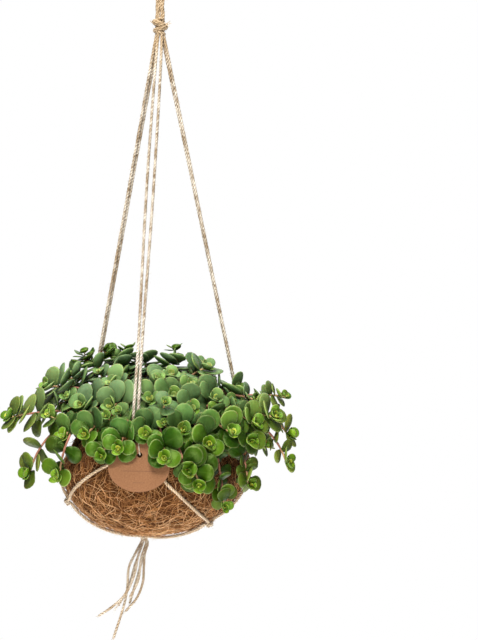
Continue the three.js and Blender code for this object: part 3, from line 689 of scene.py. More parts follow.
top_place = np.array([0, 0, TOP_KNOT_HEIGHT])
knot_lines = []
t = full_turn(56)
out = np.stack([np.cos(t), np.sin(t), 0 * t], -1)
for wrap in TOP_WRAPS.values():
    line = top_place + wrap["radius"] * out + [0, 0, wrap["rise"]]
    line[:, 2] += wrap["slope"] * wrap["radius"] * np.cos(t)
    for number in range(wrap["strands"]):
        turn = (2 * math.pi * number / wrap["strands"] + 2 * t)[:, None]
        knot_lines.append(line + wrap["spread"] * (np.cos(turn) * out + np.sin(turn) * [0, 0, 1]))
twine_piece("tied_top_knot", knot_lines, "top_knot", closed=True, Radius=1.25, Density=KNOT_HAIRS, Seed=33)

stubs = []
for aside, forward, rise in STUB_TIPS:
    bends = [(0.3 * aside, 0, 0.2 * rise), (0.7 * aside, 0.6 * forward, 0.5 * rise), (aside, forward, rise)]
    stubs.append(smooth(top_place + bends, 0.7))
stubs = lines_mesh("knot_ends", stubs)
grow("knot_ends", stubs, fibre_rule, "twine", Radius=STUB_RADIUS, Finish=twine_finish)


# Coir wrap: a bowl of matted coconut fibre round the root ball, about 8 mm thick, open at the top.
# Coarse springy fibres lie every way over each other on a felt, and stick out at the rim. The felt and
# the deepest fibres are painted dark as shade in the gaps of the mat, and the coir is painted darker
# towards the rim as shade from the leaves that hang over it.
WRAP_THICKNESS = 8
WRAP_RIM_HEIGHT = 52
SOIL_HEIGHT = 47
WRAP_SIDES = 120
WRAP_LUMPS = (1.6, 17.0)
FELT_DEPTH = 1.2
RIM_BRIDGE = ((5, 0.6), (1.5, -0.6))
OUTER_STEPS = 34
INNER_STEPS = 20
COIR_SHADE_FROM = -552
COIR_SHADE = 0.22
FIBRE_DEPTH = 0.7
# Each layer's fibres take tones at random between Low and High; the deeper layers are darker, as painted
# shade in the depth of the mat.
COIR_LAYERS = {
    "coir_under": {"Density": 52000, "Length": 24, "Lift": -0.7, "Thickness": 0.3, "Low": 0.0, "High": 0.55},
    "coir_middle": {"Density": 64000, "Length": 17, "Lift": -0.2, "Thickness": 0.23, "Low": 0.1, "High": 0.9},
    "coir_over": {"Density": 64000, "Length": 15, "Lift": 0.2, "Thickness": 0.18, "Low": 0.3, "High": 1.15},
}


def bowl_arc(inset, top_height, steps):
    """Radius and height from the pole under the ball up to a height."""
    half_height = BALL_HALF_HEIGHT - inset
    angle = np.linspace(-math.pi / 2, math.asin(top_height / half_height), steps + 1)
    return np.stack([(BALL_RADIUS - inset) * np.cos(angle), half_height * np.sin(angle)], -1)


def neighbours(count):
    """Each number in a ring with the next one."""
    return [(i, (i + 1) % count) for i in range(count)]


def turned(name, profile, lumps, lump_size):
    """A shape turned about the ball's axis, with uneven lumps. Its first and last points are poles."""
    angles = full_turn(WRAP_SIDES)
    body = profile[1:-1]
    ring = np.stack([np.sin(angles), -np.cos(angles)], -1)
    heights = np.repeat(body[:, None, 1:], WRAP_SIDES, axis=1)
    places = np.concatenate([body[:, None, :1] * ring[None], heights], -1).reshape(-1, 3)
    places = np.vstack([places, [0, 0, profile[0, 1]], [0, 0, profile[-1, 1]]])
    heave = np.array([noise.noise(Vector(place / lump_size)) for place in places])
    places = places + lumps * heave[:, None] * unit(places * [1, 1, 1.6])
    low_pole = len(body) * WRAP_SIDES
    top = low_pole - WRAP_SIDES
    faces = []
    for a in range(0, top, WRAP_SIDES):
        b = a + WRAP_SIDES
        faces += [(a + i, a + j, b + j, b + i) for i, j in neighbours(WRAP_SIDES)]
    for i, j in neighbours(WRAP_SIDES):
        faces += [(j, i, low_pole), (top + i, top + j, low_pole + 1)]
    return plain_mesh(name, tilted(places) + BALL_CENTRE, faces)


def finished(mesh, finish, slot, *nodes):
    mesh.materials.append(finish)
    mesh.shade_smooth()
    return hand_over(new_object(mesh.name, mesh), slot, *nodes)


coir_finish, start, feed = new_finish("coir_fibre", Roughness=0.75, Specular_IOR_Level=0.3)
spot = on_object(start)
# Painted shade: the coir is darker towards the rim, for the shade of the leaves that hang over it.
coir_shade = ((spot.axes()[2] - COIR_SHADE_FROM * MM) * 22.0).limited() * COIR_SHADE
shade = (painted(start, "tone") * 0.8 + grain(spot, 45.0, 2.0) * 0.5 - 0.08 - coir_shade).limited()
stops = [
    (0.0, (0.035, 0.01, 0.001)), (0.3, (0.175, 0.06, 0.011)),
    (0.62, (0.43, 0.19, 0.058)), (1.0, (0.82, 0.51, 0.26)),
]
feed(Base_Color=start.node("ShaderNodeValToRGB", {"stops": stops}, Fac=shade))
# Painted shade: the felt is near black, for the shade in the gaps between the fibres over it.
felt_finish, start, feed = new_finish("coir_felt", Roughness=1.0, Specular_IOR_Level=0.1)
matting = grain(on_object(start), 420.0, 5.0, 0.75)
feed(Base_Color=matting.mixed((0.012, 0.004, 0.001), (0.1, 0.035, 0.008)), Normal=bumped(matting, 0.0016))

outer_arc = bowl_arc(FELT_DEPTH, WRAP_RIM_HEIGHT - FELT_DEPTH, OUTER_STEPS)
inner_arc = bowl_arc(WRAP_THICKNESS, SOIL_HEIGHT, INNER_STEPS)[::-1]
rim_radius = inner_arc[0, 0]
rim_bridge = [[rim_radius + out, WRAP_RIM_HEIGHT + up] for out, up in RIM_BRIDGE]
felt = turned("coir_felt", np.vstack([outer_arc, rim_bridge, inner_arc]), *WRAP_LUMPS)
finished(felt, felt_finish, "coir", "coir_wrap")

start, wires = new_rule(
    "matted_fibres",
    "Density", "Length", "Thickness", "Lift", "Loose", "Wander", "Low", "High", "Seed", "Finish",
)
ground = wires["Geometry"]
fibre = start.node(
    "GeometryNodeCurveQuadraticBezier", Resolution=5, Start=(-0.5, 0, 0), Middle=(0, 0.5, 0), End=(0.5, 0, 0),
)
length = wires["Length"]
size = start.node(
    "ShaderNodeCombineXYZ",
    X=between(start, 0.55, 1.5, 5) * length, Y=between(start, -1.0, 1.0, 6) * length, Z=length,
)
fibres = strewn(ground, wires, fibre, size, 7)
fibres = stored(fibres, "tone", between(start, wires["Low"], wires["High"], 8), "INSTANCE")
fibres = realized(stored(fibres, "depth", between(start, -1.0, 1.0, 9), "INSTANCE"))
spot = start.node("GeometryNodeInputPosition")
stray = grain(spot, 60.0, 1.0).other("Color").vector("SUBTRACT", (0.5, 0.5, 0.5)).scaled(wires["Wander"])
fibres = moved(fibres, Offset=stray)
on_faces = {"target_element": "FACES"}
nearest = start.node("GeometryNodeProximity", on_faces, Geometry=ground, Sample_Position=spot)
facing = start.node("GeometryNodeInputNormal")
outward = start.node(
    "GeometryNodeSampleNearestSurface", {"data_type": "FLOAT_VECTOR"},
    Mesh=ground, Value=facing, Sample_Position=spot,
)
share = start.node("GeometryNodeSplineParameter", output="Factor")
depth = start.node("GeometryNodeInputNamedAttribute", {"data_type": "FLOAT"}, Name="depth")
springy = (depth.math("MAXIMUM", 0.0) ** 5.0) * (share**4.0) * wires["Loose"]
lifted = wires["Lift"] + depth * (FIBRE_DEPTH * MM) + springy
fibres = moved(fibres, Position=nearest.vector("ADD", outward.scaled(lifted)))
tapered = (share * math.pi).math("SINE") * 0.55 + 0.5
girth = tapered * wires["Thickness"] * (depth * 0.25 + 1.0)
fibres = tube_along(fibres, round_section(start, 3, 1.0), girth)
matted_rule = close_rule(dressed(fibres, wires["Finish"]))

skin_profile = np.vstack([outer_arc, rim_bridge, [[0, WRAP_RIM_HEIGHT - 20]]])
for number, (layer_name, layer) in enumerate(COIR_LAYERS.items()):
    skin = turned("fibre_ground", skin_profile, *WRAP_LUMPS)
    values = {**layer, "Loose": 4.5, "Wander": 6, "Seed": 50 + number, "Finish": coir_finish}
    grow(layer_name, skin, matted_rule, "coir", **values)


# Root ball: dark moist potting soil pressed into the wrap, crumbly on top, where the stems grow from.
# The photograph shows next to nothing of it under the leaves.
SOIL_LUMPS = (2.4, 9.0)
SOIL_STEPS = 16
SOIL_RINGS = 22
CRUMBS_PER_SQUARE_METRE = 60000
CRUMB_SIZE = 1.5
soil_finish, start, feed = new_finish("moist_soil", Roughness=0.85, Specular_IOR_Level=0.3)
crumbs = grain(on_object(start), 330.0, 6.0, 0.7)
feed(Base_Color=crumbs.mixed((0.012, 0.007, 0.004), (0.085, 0.052, 0.03)), Normal=bumped(crumbs, 0.002))
side_arc = bowl_arc(WRAP_THICKNESS + GAP, SOIL_HEIGHT, SOIL_STEPS)
top_rings = [[side_arc[-1, 0] * share, SOIL_HEIGHT] for share in np.linspace(0.97, 0, SOIL_RINGS)]
soil = turned("soil_ball", np.vstack([side_arc, top_rings]), *SOIL_LUMPS)

start, wires = new_rule("crumbled_top", "Density", "Radius", "Seed", "Finish")
ground = wires["Geometry"]
on_top = start.node("GeometryNodeInputNormal").axes()[2].math("GREATER_THAN", 0.6)
lump = start.node("GeometryNodeMeshIcoSphere", Radius=wires["Radius"], Subdivisions=1)
lumps = realized(strewn(ground, wires, lump, between(start, 0.35, 1.5, 3), 2, Selection=on_top))
joined = start.node("GeometryNodeJoinGeometry", Geometry=[ground, lumps])
crumbled_rule = close_rule(dressed(joined, wires["Finish"]))
values = {"Density": CRUMBS_PER_SQUARE_METRE, "Radius": CRUMB_SIZE, "Seed": 3, "Finish": soil_finish}
grow("soil_ball", soil, crumbled_rule, "soil", "root_ball", **values)


# Tag: a plain oval of kraft card, punched near its top edge and hung from the front knot by a thin
# cotton thread. It leans on the front of the ball and its edge curls forward a little.
TAG_WIDTH = 59
TAG_HEIGHT = 47
TAG_THICKNESS = 1.2
TAG_BEVEL = 0.25
TAG_HOLE_RADIUS = 2.4
TAG_HOLE = 11.5
TAG_LIFT = 4.4
TAG_SPOT = (-5.5, 14)
TAG_CURL = 0.9
TAG_SIDES = 72
TAG_RULES = ((0.435, 0.27, 0.9), (0.25, 0.1, 0.7))
THREAD_RADIUS = 0.5
THREAD = {"Radius": THREAD_RADIUS, "Lay": 3, "Density": KNOT_HAIRS, "Fuzz": 0.4, "Stain": 0.2, "Seed": 4}
THREAD_STEP = 0.6
tag_place = on_ball(*TAG_SPOT, TAG_LIFT + TAG_THICKNESS / 2)
tag_normal = unit(tag_place - on_ball(*TAG_SPOT, 0))
tag_right = unit(np.cross((0, 0, 1), tag_normal))
tag_up = np.cross(tag_normal, tag_right)


def tag_point(right, up, out):
    """A place in front of, on or behind the tag, from its middle."""
    flat = tag_place + np.multiply.outer(right, tag_right) + np.multiply.outer(up, tag_up)
    return flat + np.multiply.outer(out, tag_normal)


angles = full_turn(TAG_SIDES)
tag_round = np.stack([np.cos(angles), np.sin(angles)], -1)
hole_rim = tag_round * TAG_HOLE_RADIUS + [0, TAG_HOLE]
card_edge = tag_round * [TAG_WIDTH / 2, TAG_HEIGHT / 2]
half = TAG_THICKNESS / 2
face_shares = (0.01, 0.08, 0.3, 0.55, 0.8, 0.94, 0.99)
tag_rows = [(0, -half + TAG_BEVEL), (0, half - TAG_BEVEL), *((share, half) for share in face_shares)]
tag_rows += [(1, half - TAG_BEVEL), (1, -half + TAG_BEVEL), *((share, -half) for share in face_shares[::-1])]
tag_places, tag_uvs, tag_faces = [], [], []
for row, (share, out) in enumerate(tag_rows):
    flat = hole_rim * (1 - share) + card_edge * share
    curl = TAG_CURL * (flat[:, 0] / (TAG_WIDTH / 2)) ** 2 - 0.35 * TAG_CURL
    tag_places.append(tag_point(flat[:, 0], flat[:, 1], out + curl))
    tag_uvs.append(flat / TAG_WIDTH + 0.5)
    a, b = row * TAG_SIDES, (row + 1) % len(tag_rows) * TAG_SIDES
    tag_faces += [(a + i, b + i, b + j, a + j) for i, j in neighbours(TAG_SIDES)]
tag_mesh = plain_mesh("kraft_tag", np.vstack(tag_places) + BALL_CENTRE, tag_faces)
tag_map = tag_mesh.uv_layers.new(name="card")
corners = np.empty(len(tag_mesh.loops), int)
tag_mesh.loops.foreach_get("vertex_index", corners)
tag_map.data.foreach_set("uv", np.vstack(tag_uvs)[corners].ravel())

kraft_finish, start, feed = new_finish("kraft_card", Roughness=0.82, Specular_IOR_Level=0.25)
card = start.node("ShaderNodeUVMap", {"uv_map": "card"})
pulp = grain(card, 38.0, 6.0, 0.7)
streaks = grain(start.node("ShaderNodeMapping", Vector=card, Scale=(9, 60, 1)), 4.0, 4.0)
shade = (pulp * 1.6 + streaks * 0.9 - 0.75).limited()
colour = shade.mixed((0.12, 0.05, 0.02), (0.24, 0.112, 0.05))
flecks = (grain(card, 150.0, 2.0, 0.6) * 6.0 - 3.6).limited() * 0.5
colour = flecks.mixed(colour, (0.16, 0.065, 0.028))
across, up, _ = card.axes()
for height, reach, strength in TAG_RULES:
    row = (1 - (up - height).size() * 120.0).limited()
    ink = row * ((reach - (across - 0.5).size()) * 80.0).limited() * strength
    colour = ink.mixed(colour, (0.09, 0.04, 0.02))
feed(Base_Color=colour, Normal=bumped(pulp, 0.0002))
finished(tag_mesh, kraft_finish, "kraft", "tag")

front_knot = knot_places["rim"]["front"]
thread_places = [
    tag_point(aside, TAG_HOLE + up, out)
    for aside, up, out in (
        (-2.4, 13.8, 1.5), (-0.9, 8, 2.2), (-0.4, 3.2, 2), (0, 0, 0), (0.5, 3.2, -2), (1.4, 9, -2.4),
    )
]
thread_ends = [front_knot + KNOT_LIFT * unit(thread_places[end] - front_knot) for end in (0, -1)]
thread_route = [thread_ends[0], *thread_places, thread_ends[1]]
thread_line = smooth([front_knot, *thread_route, front_knot], THREAD_STEP) + BALL_CENTRE
twine_piece("tag_string", [thread_line], "tag_thread", **THREAD)


# Stonecrop: trailing stems that root in the soil and arch over the rim. Each carries round fleshy
# leaves in crossed pairs and ends in a small rosette; the old stems are bare and reddish brown.
# A spray has a size and its stems' tips: three numbers for the place, and how high the stem arches.
SPRAYS = {
    "far_left": (1, [(-142, -20, 54, 10), (-111, 10, 80, 8)]),
    "low_left": (0.8, [(-120, -45, 0, 12), (-89, -62, 0, 12)]),
    "left_shoulder": (1, [(-70, -35, 66, 10), (-84, -50, 38, 12)]),
    "high_left": (0.95, [(-91, 30, 88, 6), (-70, 35, 100, 4)]),
    "left_top": (1.1, [(-42, -22, 86, 4), (-40, -50, 66, 10)]),
    "crown_left": (1, [(-42, 42, 107, 2), (-12, 46, 106, 2)]),
    "front_left": (0.9, [(-45, -92, 24, 10), (-62, -78, 42, 10)]),
    "front_mid_left": (0.9, [(-29, -96, 31, 10)]),
    "front_mid": (0.95, [(-4, -92, 44, 8), (14, -102, 24, 12)]),
    "front_top": (1, [(-2, -58, 74, 8), (20, -44, 76, 6)]),
    "crown_front": (1.15, [(16, -16, 94, 2)]),
    "crown_back": (1, [(22, 32, 108, 2), (46, 40, 99, 2)]),
    "crown_right": (1.05, [(52, 0, 100, 3), (84, 6, 76, 6)]),
    "right_shoulder": (1, [(60, -42, 73, 12), (38, -62, 65, 12)]),
    "front_right": (1, [(31, -84, 48, 12), (54, -84, 34, 10)]),
    "bright_right": (1.05, [(76, -68, 44, 10), (94, -50, 32, 10)]),
    "front_low": (0.96, [(36, -101, 11, 12), (45, -95, -4, 14)]),
    "low_right": (0.58, [(69, -75, -27, 18), (93, -48, -11, 14)]),
    "far_right": (0.85, [(118, -22, 54, 12), (99, -36, 48, 12)]),
    "high_right": (0.62, [(130, 4, 72, 8), (100, -12, 70, 10)]),
    "hanging_right": (0.62, [(131, -10, 6, 12), (134, 12, 31, 12)]),
    "back_right": (1, [(90, 52, 50, 10), (110, 38, 18, 12)]),
    "back_right_low": (1, [(62, 88, 26, 12), (50, 68, 76, 10)]),
    "back_mid": (1, [(12, 104, 22, 12), (4, 78, 82, 8)]),
    "back_left": (1, [(-42, 96, 28, 12), (-34, 74, 78, 8)]),
    "back_left_low": (1, [(-94, 66, 34, 12), (-112, 44, 58, 10)]),
}
STEM_RADIUS = 1.2
STEM_SEGMENTS = 6
STEM_CLEARANCE = 2 * STEM_RADIUS + 0.6
STEM_GAP = 0.5
ROOT_DEPTH = 4.5
ROOT_REACH = 22
ROOT_SPREAD = 0.2
ROOT_SHARE = 0.7
CLIMB = 20
CLIMB_ASIDE = 0.3
LEAN_SHARE = 0.62
LEAN_FURTHER = 0.25
FULL_DROP = 50
PROBE_STEP = 2
RIM_MARGIN = STEM_RADIUS + 0.8
BENDS = [
    (0, 0), (6, 2), (-6, 2), (0, 6), (10, 6), (-10, 6), (0, 12), (15, 10), (-15, 10),
    (0, 18), (20, 16), (-20, 16), (0, 24), (26, 22), (-26, 22), (0, 30),
]
draw_state = 20260


def draw():
    """One draw after another from a fixed start."""
    global draw_state
    draw_state = (draw_state * 1664525 + 1013904223) % 2**32
    return draw_state / 2**32


def flat_way(place):
    """The way straight out from the ball's axis."""
    return unit([place[0], place[1], 0])


def root_place(tip):
    flat = np.array([tip[0], tip[1], 0.0])
    far = np.linalg.norm(flat)
    reach = min(ROOT_SHARE * far, ROOT_REACH + ROOT_SPREAD * (SOIL_HEIGHT - tip[2]))
    flat *= reach / far
    return tilted((flat[0], flat[1], SOIL_HEIGHT))


def stem_ends(root, goal, bend):
    """The four places that shape a stem: it climbs out of the soil, leans over and ends at its tip."""
    tip, rise = np.array(goal[:3], float), goal[3]
    sideways, higher = bend
    drop = min(1, max(0, (root[2] - tip[2]) / FULL_DROP))
    lean = root + (LEAN_SHARE + LEAN_FURTHER * drop) * (tip - root)
    side = unit([-tip[1], tip[0], 0])
    lean[2] = max(root[2], tip[2]) + rise + higher
    lean += sideways * side
    climb = root + [0, 0, CLIMB] + CLIMB_ASIDE * sideways * side
    return np.array([root, climb, lean, tip])


def bezier(ends, shares):
    t = np.asarray(shares)[:, None]
    early = ends[0] * (1 - t) ** 3 + ends[1] * 3 * t * (1 - t) ** 2
    return early + ends[2] * 3 * t**2 * (1 - t) + ends[3] * t**3


def even_bezier(ends, count):
    fine = np.linspace(0, 1, 201)
    lengths = distances_along(bezier(ends, fine))
    return bezier(ends, np.interp(np.linspace(0, lengths[-1], count + 1), lengths, fine))


def probed(route):
    samples = []
    for first, last in zip(route, route[1:]):
        count = max(1, math.ceil(np.linalg.norm(last - first) / PROBE_STEP))
        samples.append(first + np.arange(count)[:, None] / count * (last - first))
    return np.vstack([*samples, route[-1:]])


def in_ball(places, margin):
    local = tilted(places, -BALL_TILT)
    flat = np.hypot(local[:, 0], local[:, 1]) / (BALL_RADIUS + margin)
    squashed = local[:, 2] / (BALL_HALF_HEIGHT + margin)
    return (local[:, 2] < WRAP_RIM_HEIGHT + margin) & (np.hypot(flat, squashed) < 1)


def in_rim(places):
    return (np.hypot(places[:, 0], places[:, 1]) > rim_radius - RIM_MARGIN) & in_ball(places, RIM_MARGIN)


def distances(places, others):
    return np.linalg.norm(places[:, None] - others[None], axis=-1)


TAG_PROBE_STEP = 4
TAG_PROBE_RADIUS = 2
obstacles = [(probed(np.array(route)), TWINE_RADIUS) for route in leg_routes + net_routes]
obstacles.append((np.array(list(knot_places["rim"].values())), BALL_KNOT_RADIUS))
obstacles.append((probed(np.array(thread_route)), THREAD_RADIUS))
across_tag = np.arange(-TAG_WIDTH / 2, TAG_WIDTH / 2 + 0.001, TAG_PROBE_STEP)
up_tag = np.arange(-TAG_HEIGHT / 2, TAG_HEIGHT / 2 + 0.001, TAG_PROBE_STEP)
rights, ups = (each.ravel() for each in np.meshgrid(across_tag, up_tag))
inside = (2 * rights / TAG_WIDTH) ** 2 + (2 * ups / TAG_HEIGHT) ** 2 < 1
obstacles.append((tag_point(rights[inside], ups[inside], np.zeros(inside.sum())), TAG_PROBE_RADIUS))
obstacle_places = np.vstack([places for places, _ in obstacles])
obstacle_radii = np.concatenate([np.full(len(places), radius) for places, radius in obstacles])
stems = []
stem_places = np.empty((0, 3))
stem_owner = np.empty(0)


def take_up(stem):
    """Counts the stem in, so that leaves and shoots keep clear of it."""
    global stem_places, stem_owner
    stem["number"] = len(stems)
    stems.append(stem)
    stem_places = np.vstack([stem_places, stem["samples"]])
    stem_owner = np.append(stem_owner, np.full(len(stem["samples"]), stem["number"]))


for spray_name, (size, goals) in SPRAYS.items():
    root = root_place(goals[0]) + tilted((0, 0, -ROOT_DEPTH))
    for goal in goals:
        stem = {"spray": spray_name, "size": size, "twist": draw(), "shoot": False, "bloom": 1}
        others = [other["samples"] for other in stems if other["spray"] != spray_name]
        for bend in BENDS:
            stem["ends"] = stem_ends(root, goal, bend)
            stem["route"] = even_bezier(stem["ends"], STEM_SEGMENTS)
            stem["samples"] = samples = probed(stem["route"])
            clear_of_hanger = distances(samples, obstacle_places) > obstacle_radii + STEM_RADIUS + STEM_GAP
            if in_rim(samples).any() or not clear_of_hanger.all():
                continue
            if not others or distances(samples, np.vstack(others)).min() > STEM_CLEARANCE:
                break
        take_up(stem)
        root = stem["route"][1]
long_stems = list(stems)

# Leaves sit in crossed pairs, counted from the tip. A rank is a pair's way back along the stem, its
# length as a share of a full leaf, its angle off the stem, how much it follows the stem rather than
# the light, its age from 0 to 1, its turn round the stem and, in the rosettes, how deep it is cupped.
RANK_LABELS = ("back", "length", "spread", "follow", "age", "place", "cup")


def as_ranks(rows):
    return [dict(zip(RANK_LABELS, row)) for row in rows]


RANKS = as_ranks([
    (2.5, 0.52, 40, 0.2, 0.36, 0),
    (6, 0.82, 66, 0.25, 0.55, 90),
    (15, 1, 76, 0.55, 0.75, 180),
    (29, 1.05, 82, 0.8, 0.9, 270),
])
BUD_RANKS = as_ranks([
    (0.2, 0.17, 20, 0.15, 0.0, 90, 0.34),
    (0.8, 0.28, 42, 0.15, 0.1, 0, 0.3),
    (1.6, 0.4, 56, 0.15, 0.22, 90, 0.22),
])
MORE_RANKS = as_ranks([
    (10, 0.92, 74, 0.4, 0.62, 45),
    (22, 1, 80, 0.6, 0.8, 135),
    (38, 1, 82, 0.75, 0.95, 0),
    (47, 0.95, 84, 0.75, 1, 90),
    (57, 0.9, 84, 0.75, 1, 40),
    (67, 0.85, 84, 0.75, 1, 130),
    (78, 0.8, 84, 0.75, 1, 0),
])
LEAF_LENGTH = 24
LEAFY_SHARE = 0.36
MORE_LEAFY_SHARE = 0.8
LEAF_GAP = 0.7
MORE_LEAF_GAP = 0.25
LEAF_MARGIN = 3.2
NECK_RADIUS = 0.8
NECK_LENGTH = 0.56
HALF_LONG = 0.46
HALF_WIDE = 0.45
CUP = 0.1
EGG_SHAPE = 0.1
THIN = 0.3
FLESHY = 0.085
LEAF_REACH = 0.6
LOW_LIGHT = {"up": 0.35, "out": 0.75, "front": 0.4}
HIGH_LIGHT = {"up": 0.8, "out": 0.3, "front": 0.3}
LIGHT_HEIGHTS = (20, 100)
LEAN_OUT = 0.1
NOD = 0.06
SPIN_RANGE = 20
OPEN_RANGE = 16
FACE_FOLLOW = 0.5
SAME_STEM_GAP = 0.1
NECK_PROBES = 6
INNER_PROBES = 0.55
TRIES = [
    (0, 0, 1), (18, 0, 1), (-18, 0, 1), (0, 22, 1), (0, -22, 1), (26, 14, 0.9), (-26, 14, 0.9),
    (34, -14, 0.82), (-34, -14, 0.82), (12, 34, 0.74), (-12, -30, 0.74), (44, 20, 0.68),
]
WIDE_TRIES = [*TRIES, (60, 0, 0.7), (-60, 10, 0.7)]
MORE_TRIES = [*WIDE_TRIES, (20, 40, 0.55), (-20, -40, 0.55), (0, 0, 0.5), (80, 10, 0.5)]


def along_stem(route, back):
    left = back
    for i in range(len(route) - 1, 0, -1):
        length = np.linalg.norm(route[i] - route[i - 1])
        if left <= length or i == 1:
            place = route[i] + min(1, left / length) * (route[i - 1] - route[i])
            return place, unit(route[i] - route[i - 1])
        left -= length


rim_turns = math.pi + np.arange(-2, 14) * math.pi / 8
inner_turns = np.arange(8) * math.pi / 4
PROBES = np.vstack([
    [[-1.12, 0]],
    np.stack([np.cos(rim_turns), np.sin(rim_turns)], -1),
    INNER_PROBES * np.stack([np.cos(inner_turns), np.sin(inner_turns)], -1),
    [[0, 0]],
])
PROBE_SHARES = np.minimum(1, np.hypot(PROBES[:, 0], PROBES[:, 1]))


def light_at(place):
    """Light reaches a low leaf from the front and the side, and a high one more from above."""
    low, high = LIGHT_HEIGHTS
    share = min(1, max(0, (place[2] - low) / (high - low)))
    up, out, front = (LOW_LIGHT[name] * (1 - share) + HIGH_LIGHT[name] * share for name in LOW_LIGHT)
    return unit(out * flat_way(place) + [0, -front, up])


def make_leaf(stem, rank, way, attempt, draws):
    turn, lift, shrink = attempt
    spin, nod = draws
    follow = rank["follow"]
    place, ahead = along_stem(stem["route"], rank["back"])
    light = light_at(place)
    growth = unit(follow * ahead + (1 - follow) * light)
    high = unit(np.cross(np.array([0, 0, 1]) + LEAN_OUT * flat_way(place), growth))
    wide = np.cross(growth, high)
    angle = math.radians(rank["place"] + 90 * stem["twist"] + 180 * way + SPIN_RANGE * (spin - 0.5) + turn)
    off = math.cos(angle) * high + math.sin(angle) * wide
    opened = math.radians(rank["spread"] + OPEN_RANGE * (nod - 0.5) + lift)
    axis = math.cos(opened) * growth + math.sin(opened) * off
    axis[2] -= NOD
    axis = unit(axis)
    face = FACE_FOLLOW * follow * ahead + light
    face = unit(face - (face @ axis) * axis)
    size = LEAF_LENGTH * rank["length"] * stem["size"] * shrink
    side = np.cross(axis, face)
    leaf = {
        "stem": stem, "rank": rank, "axis": axis, "face": face, "side": side, "size": size,
        "root": place, "centre": place + NECK_LENGTH * size * axis,
        "long": HALF_LONG * size, "wide": HALF_WIDE * size, "cup": CUP * size, "thick": THIN + FLESHY * size,
    }
    spread = np.outer(PROBES[:, 0] * leaf["long"], axis) + np.outer(PROBES[:, 1] * leaf["wide"], side)
    leaf["probes"] = leaf["centre"] + spread + np.outer(leaf["cup"] * PROBE_SHARES, face)
    leaf["probe_radii"] = leaf["thick"] / 2 * (1 - PROBE_SHARES)
    return leaf


def distance_to_leaf(places, leaf):
    way = places - leaf["centre"]
    along, aside, above = way @ leaf["axis"], way @ leaf["side"], way @ leaf["face"]
    share = np.hypot(along / leaf["long"], aside / leaf["wide"])
    height = above - leaf["cup"] * np.minimum(1, share)
    past = np.maximum(0, share - 1) * leaf["wide"]
    over = np.maximum(0, np.abs(height) - leaf["thick"] / 2 * np.maximum(0, 1 - share))
    back = np.clip(along, -NECK_LENGTH * leaf["size"], -leaf["long"])
    neck = np.linalg.norm(way - back[:, None] * leaf["axis"], axis=1) - NECK_RADIUS
    return np.minimum(np.hypot(past, over), neck)


def touches(places, radii, leaf, gap):
    near = np.linalg.norm(places - leaf["centre"], axis=1) < leaf["size"] * LEAF_REACH + radii + gap
    return near.any() and (distance_to_leaf(places[near], leaf) < (radii + gap)[near]).any()


def is_free(leaf, gap, crowded):
    if in_ball(leaf["probes"], LEAF_MARGIN).any() or touches(obstacle_places, obstacle_radii, leaf, gap):
        return False
    other = stem_owner != leaf["stem"]["number"]
    if touches(stem_places[other], np.full(other.sum(), STEM_RADIUS), leaf, gap):
        return False
    reach = leaf["size"] * LEAF_REACH
    for each in leaves:
        way = each["centre"] - leaf["centre"]
        if way @ way >= (reach + each["size"] * LEAF_REACH) ** 2:
            continue
        same = each["stem"] is leaf["stem"]
        if same and crowded:
            continue
        room, first = (SAME_STEM_GAP, NECK_PROBES) if same else (gap, 0)
        for probing, standing in ((leaf, each), (each, leaf)):
            apart = distance_to_leaf(probing["probes"][first:], standing)
            if (apart <= probing["probe_radii"][first:] + room).any():
                return False
    return True


def set_leaves(ranks, growing, share, tries, gap, crowded=False, sparse=()):
    """Pairs of leaves up to that share of each stem, wherever one of the tries has room for a leaf."""
    for rank in ranks:
        for stem in growing:
            length = route_length(stem["route"])
            for way in (0, 1):
                draws = (draw(), draw())
                if rank["back"] > share * length or stem["spray"] in sparse:
                    continue
                for attempt in tries:
                    leaf = make_leaf(stem, rank, way, attempt, draws)
                    if is_free(leaf, gap, crowded):
                        leaves.append(leaf)
                        break


leaves = []
set_leaves(RANKS, long_stems, LEAFY_SHARE, TRIES, LEAF_GAP)
set_leaves(BUD_RANKS, long_stems, 1, MORE_TRIES, 0.0, crowded=True)

# Side shoots: short young stems that rise from the long ones and fill the canopy with small rosettes.
SHOOT_SIZE = 0.82
SHOOT_LENGTH = (13, 24)
SHOOT_UP = 0.8
SHOOT_OUT = 0.5
SHOOT_AHEAD = 0.3
SHOOT_ASIDE = 1.3
SHOOT_SEGMENTS = 4
SHOOT_TRIES = 8
SHOOT_CLEAR = {"hanger": 1.5, "ball": 2, "stem": 3, "leaf": 0.2}
SHOOT_LEAFY_SHARE = 0.95


def new_shoot(spray_name, size, ends, bloom):
    route = even_bezier(ends, SHOOT_SEGMENTS)
    return {
        "spray": spray_name, "size": size, "ends": ends, "route": route,
        "samples": probed(route)[2:], "shoot": True, "bloom": bloom,
    }


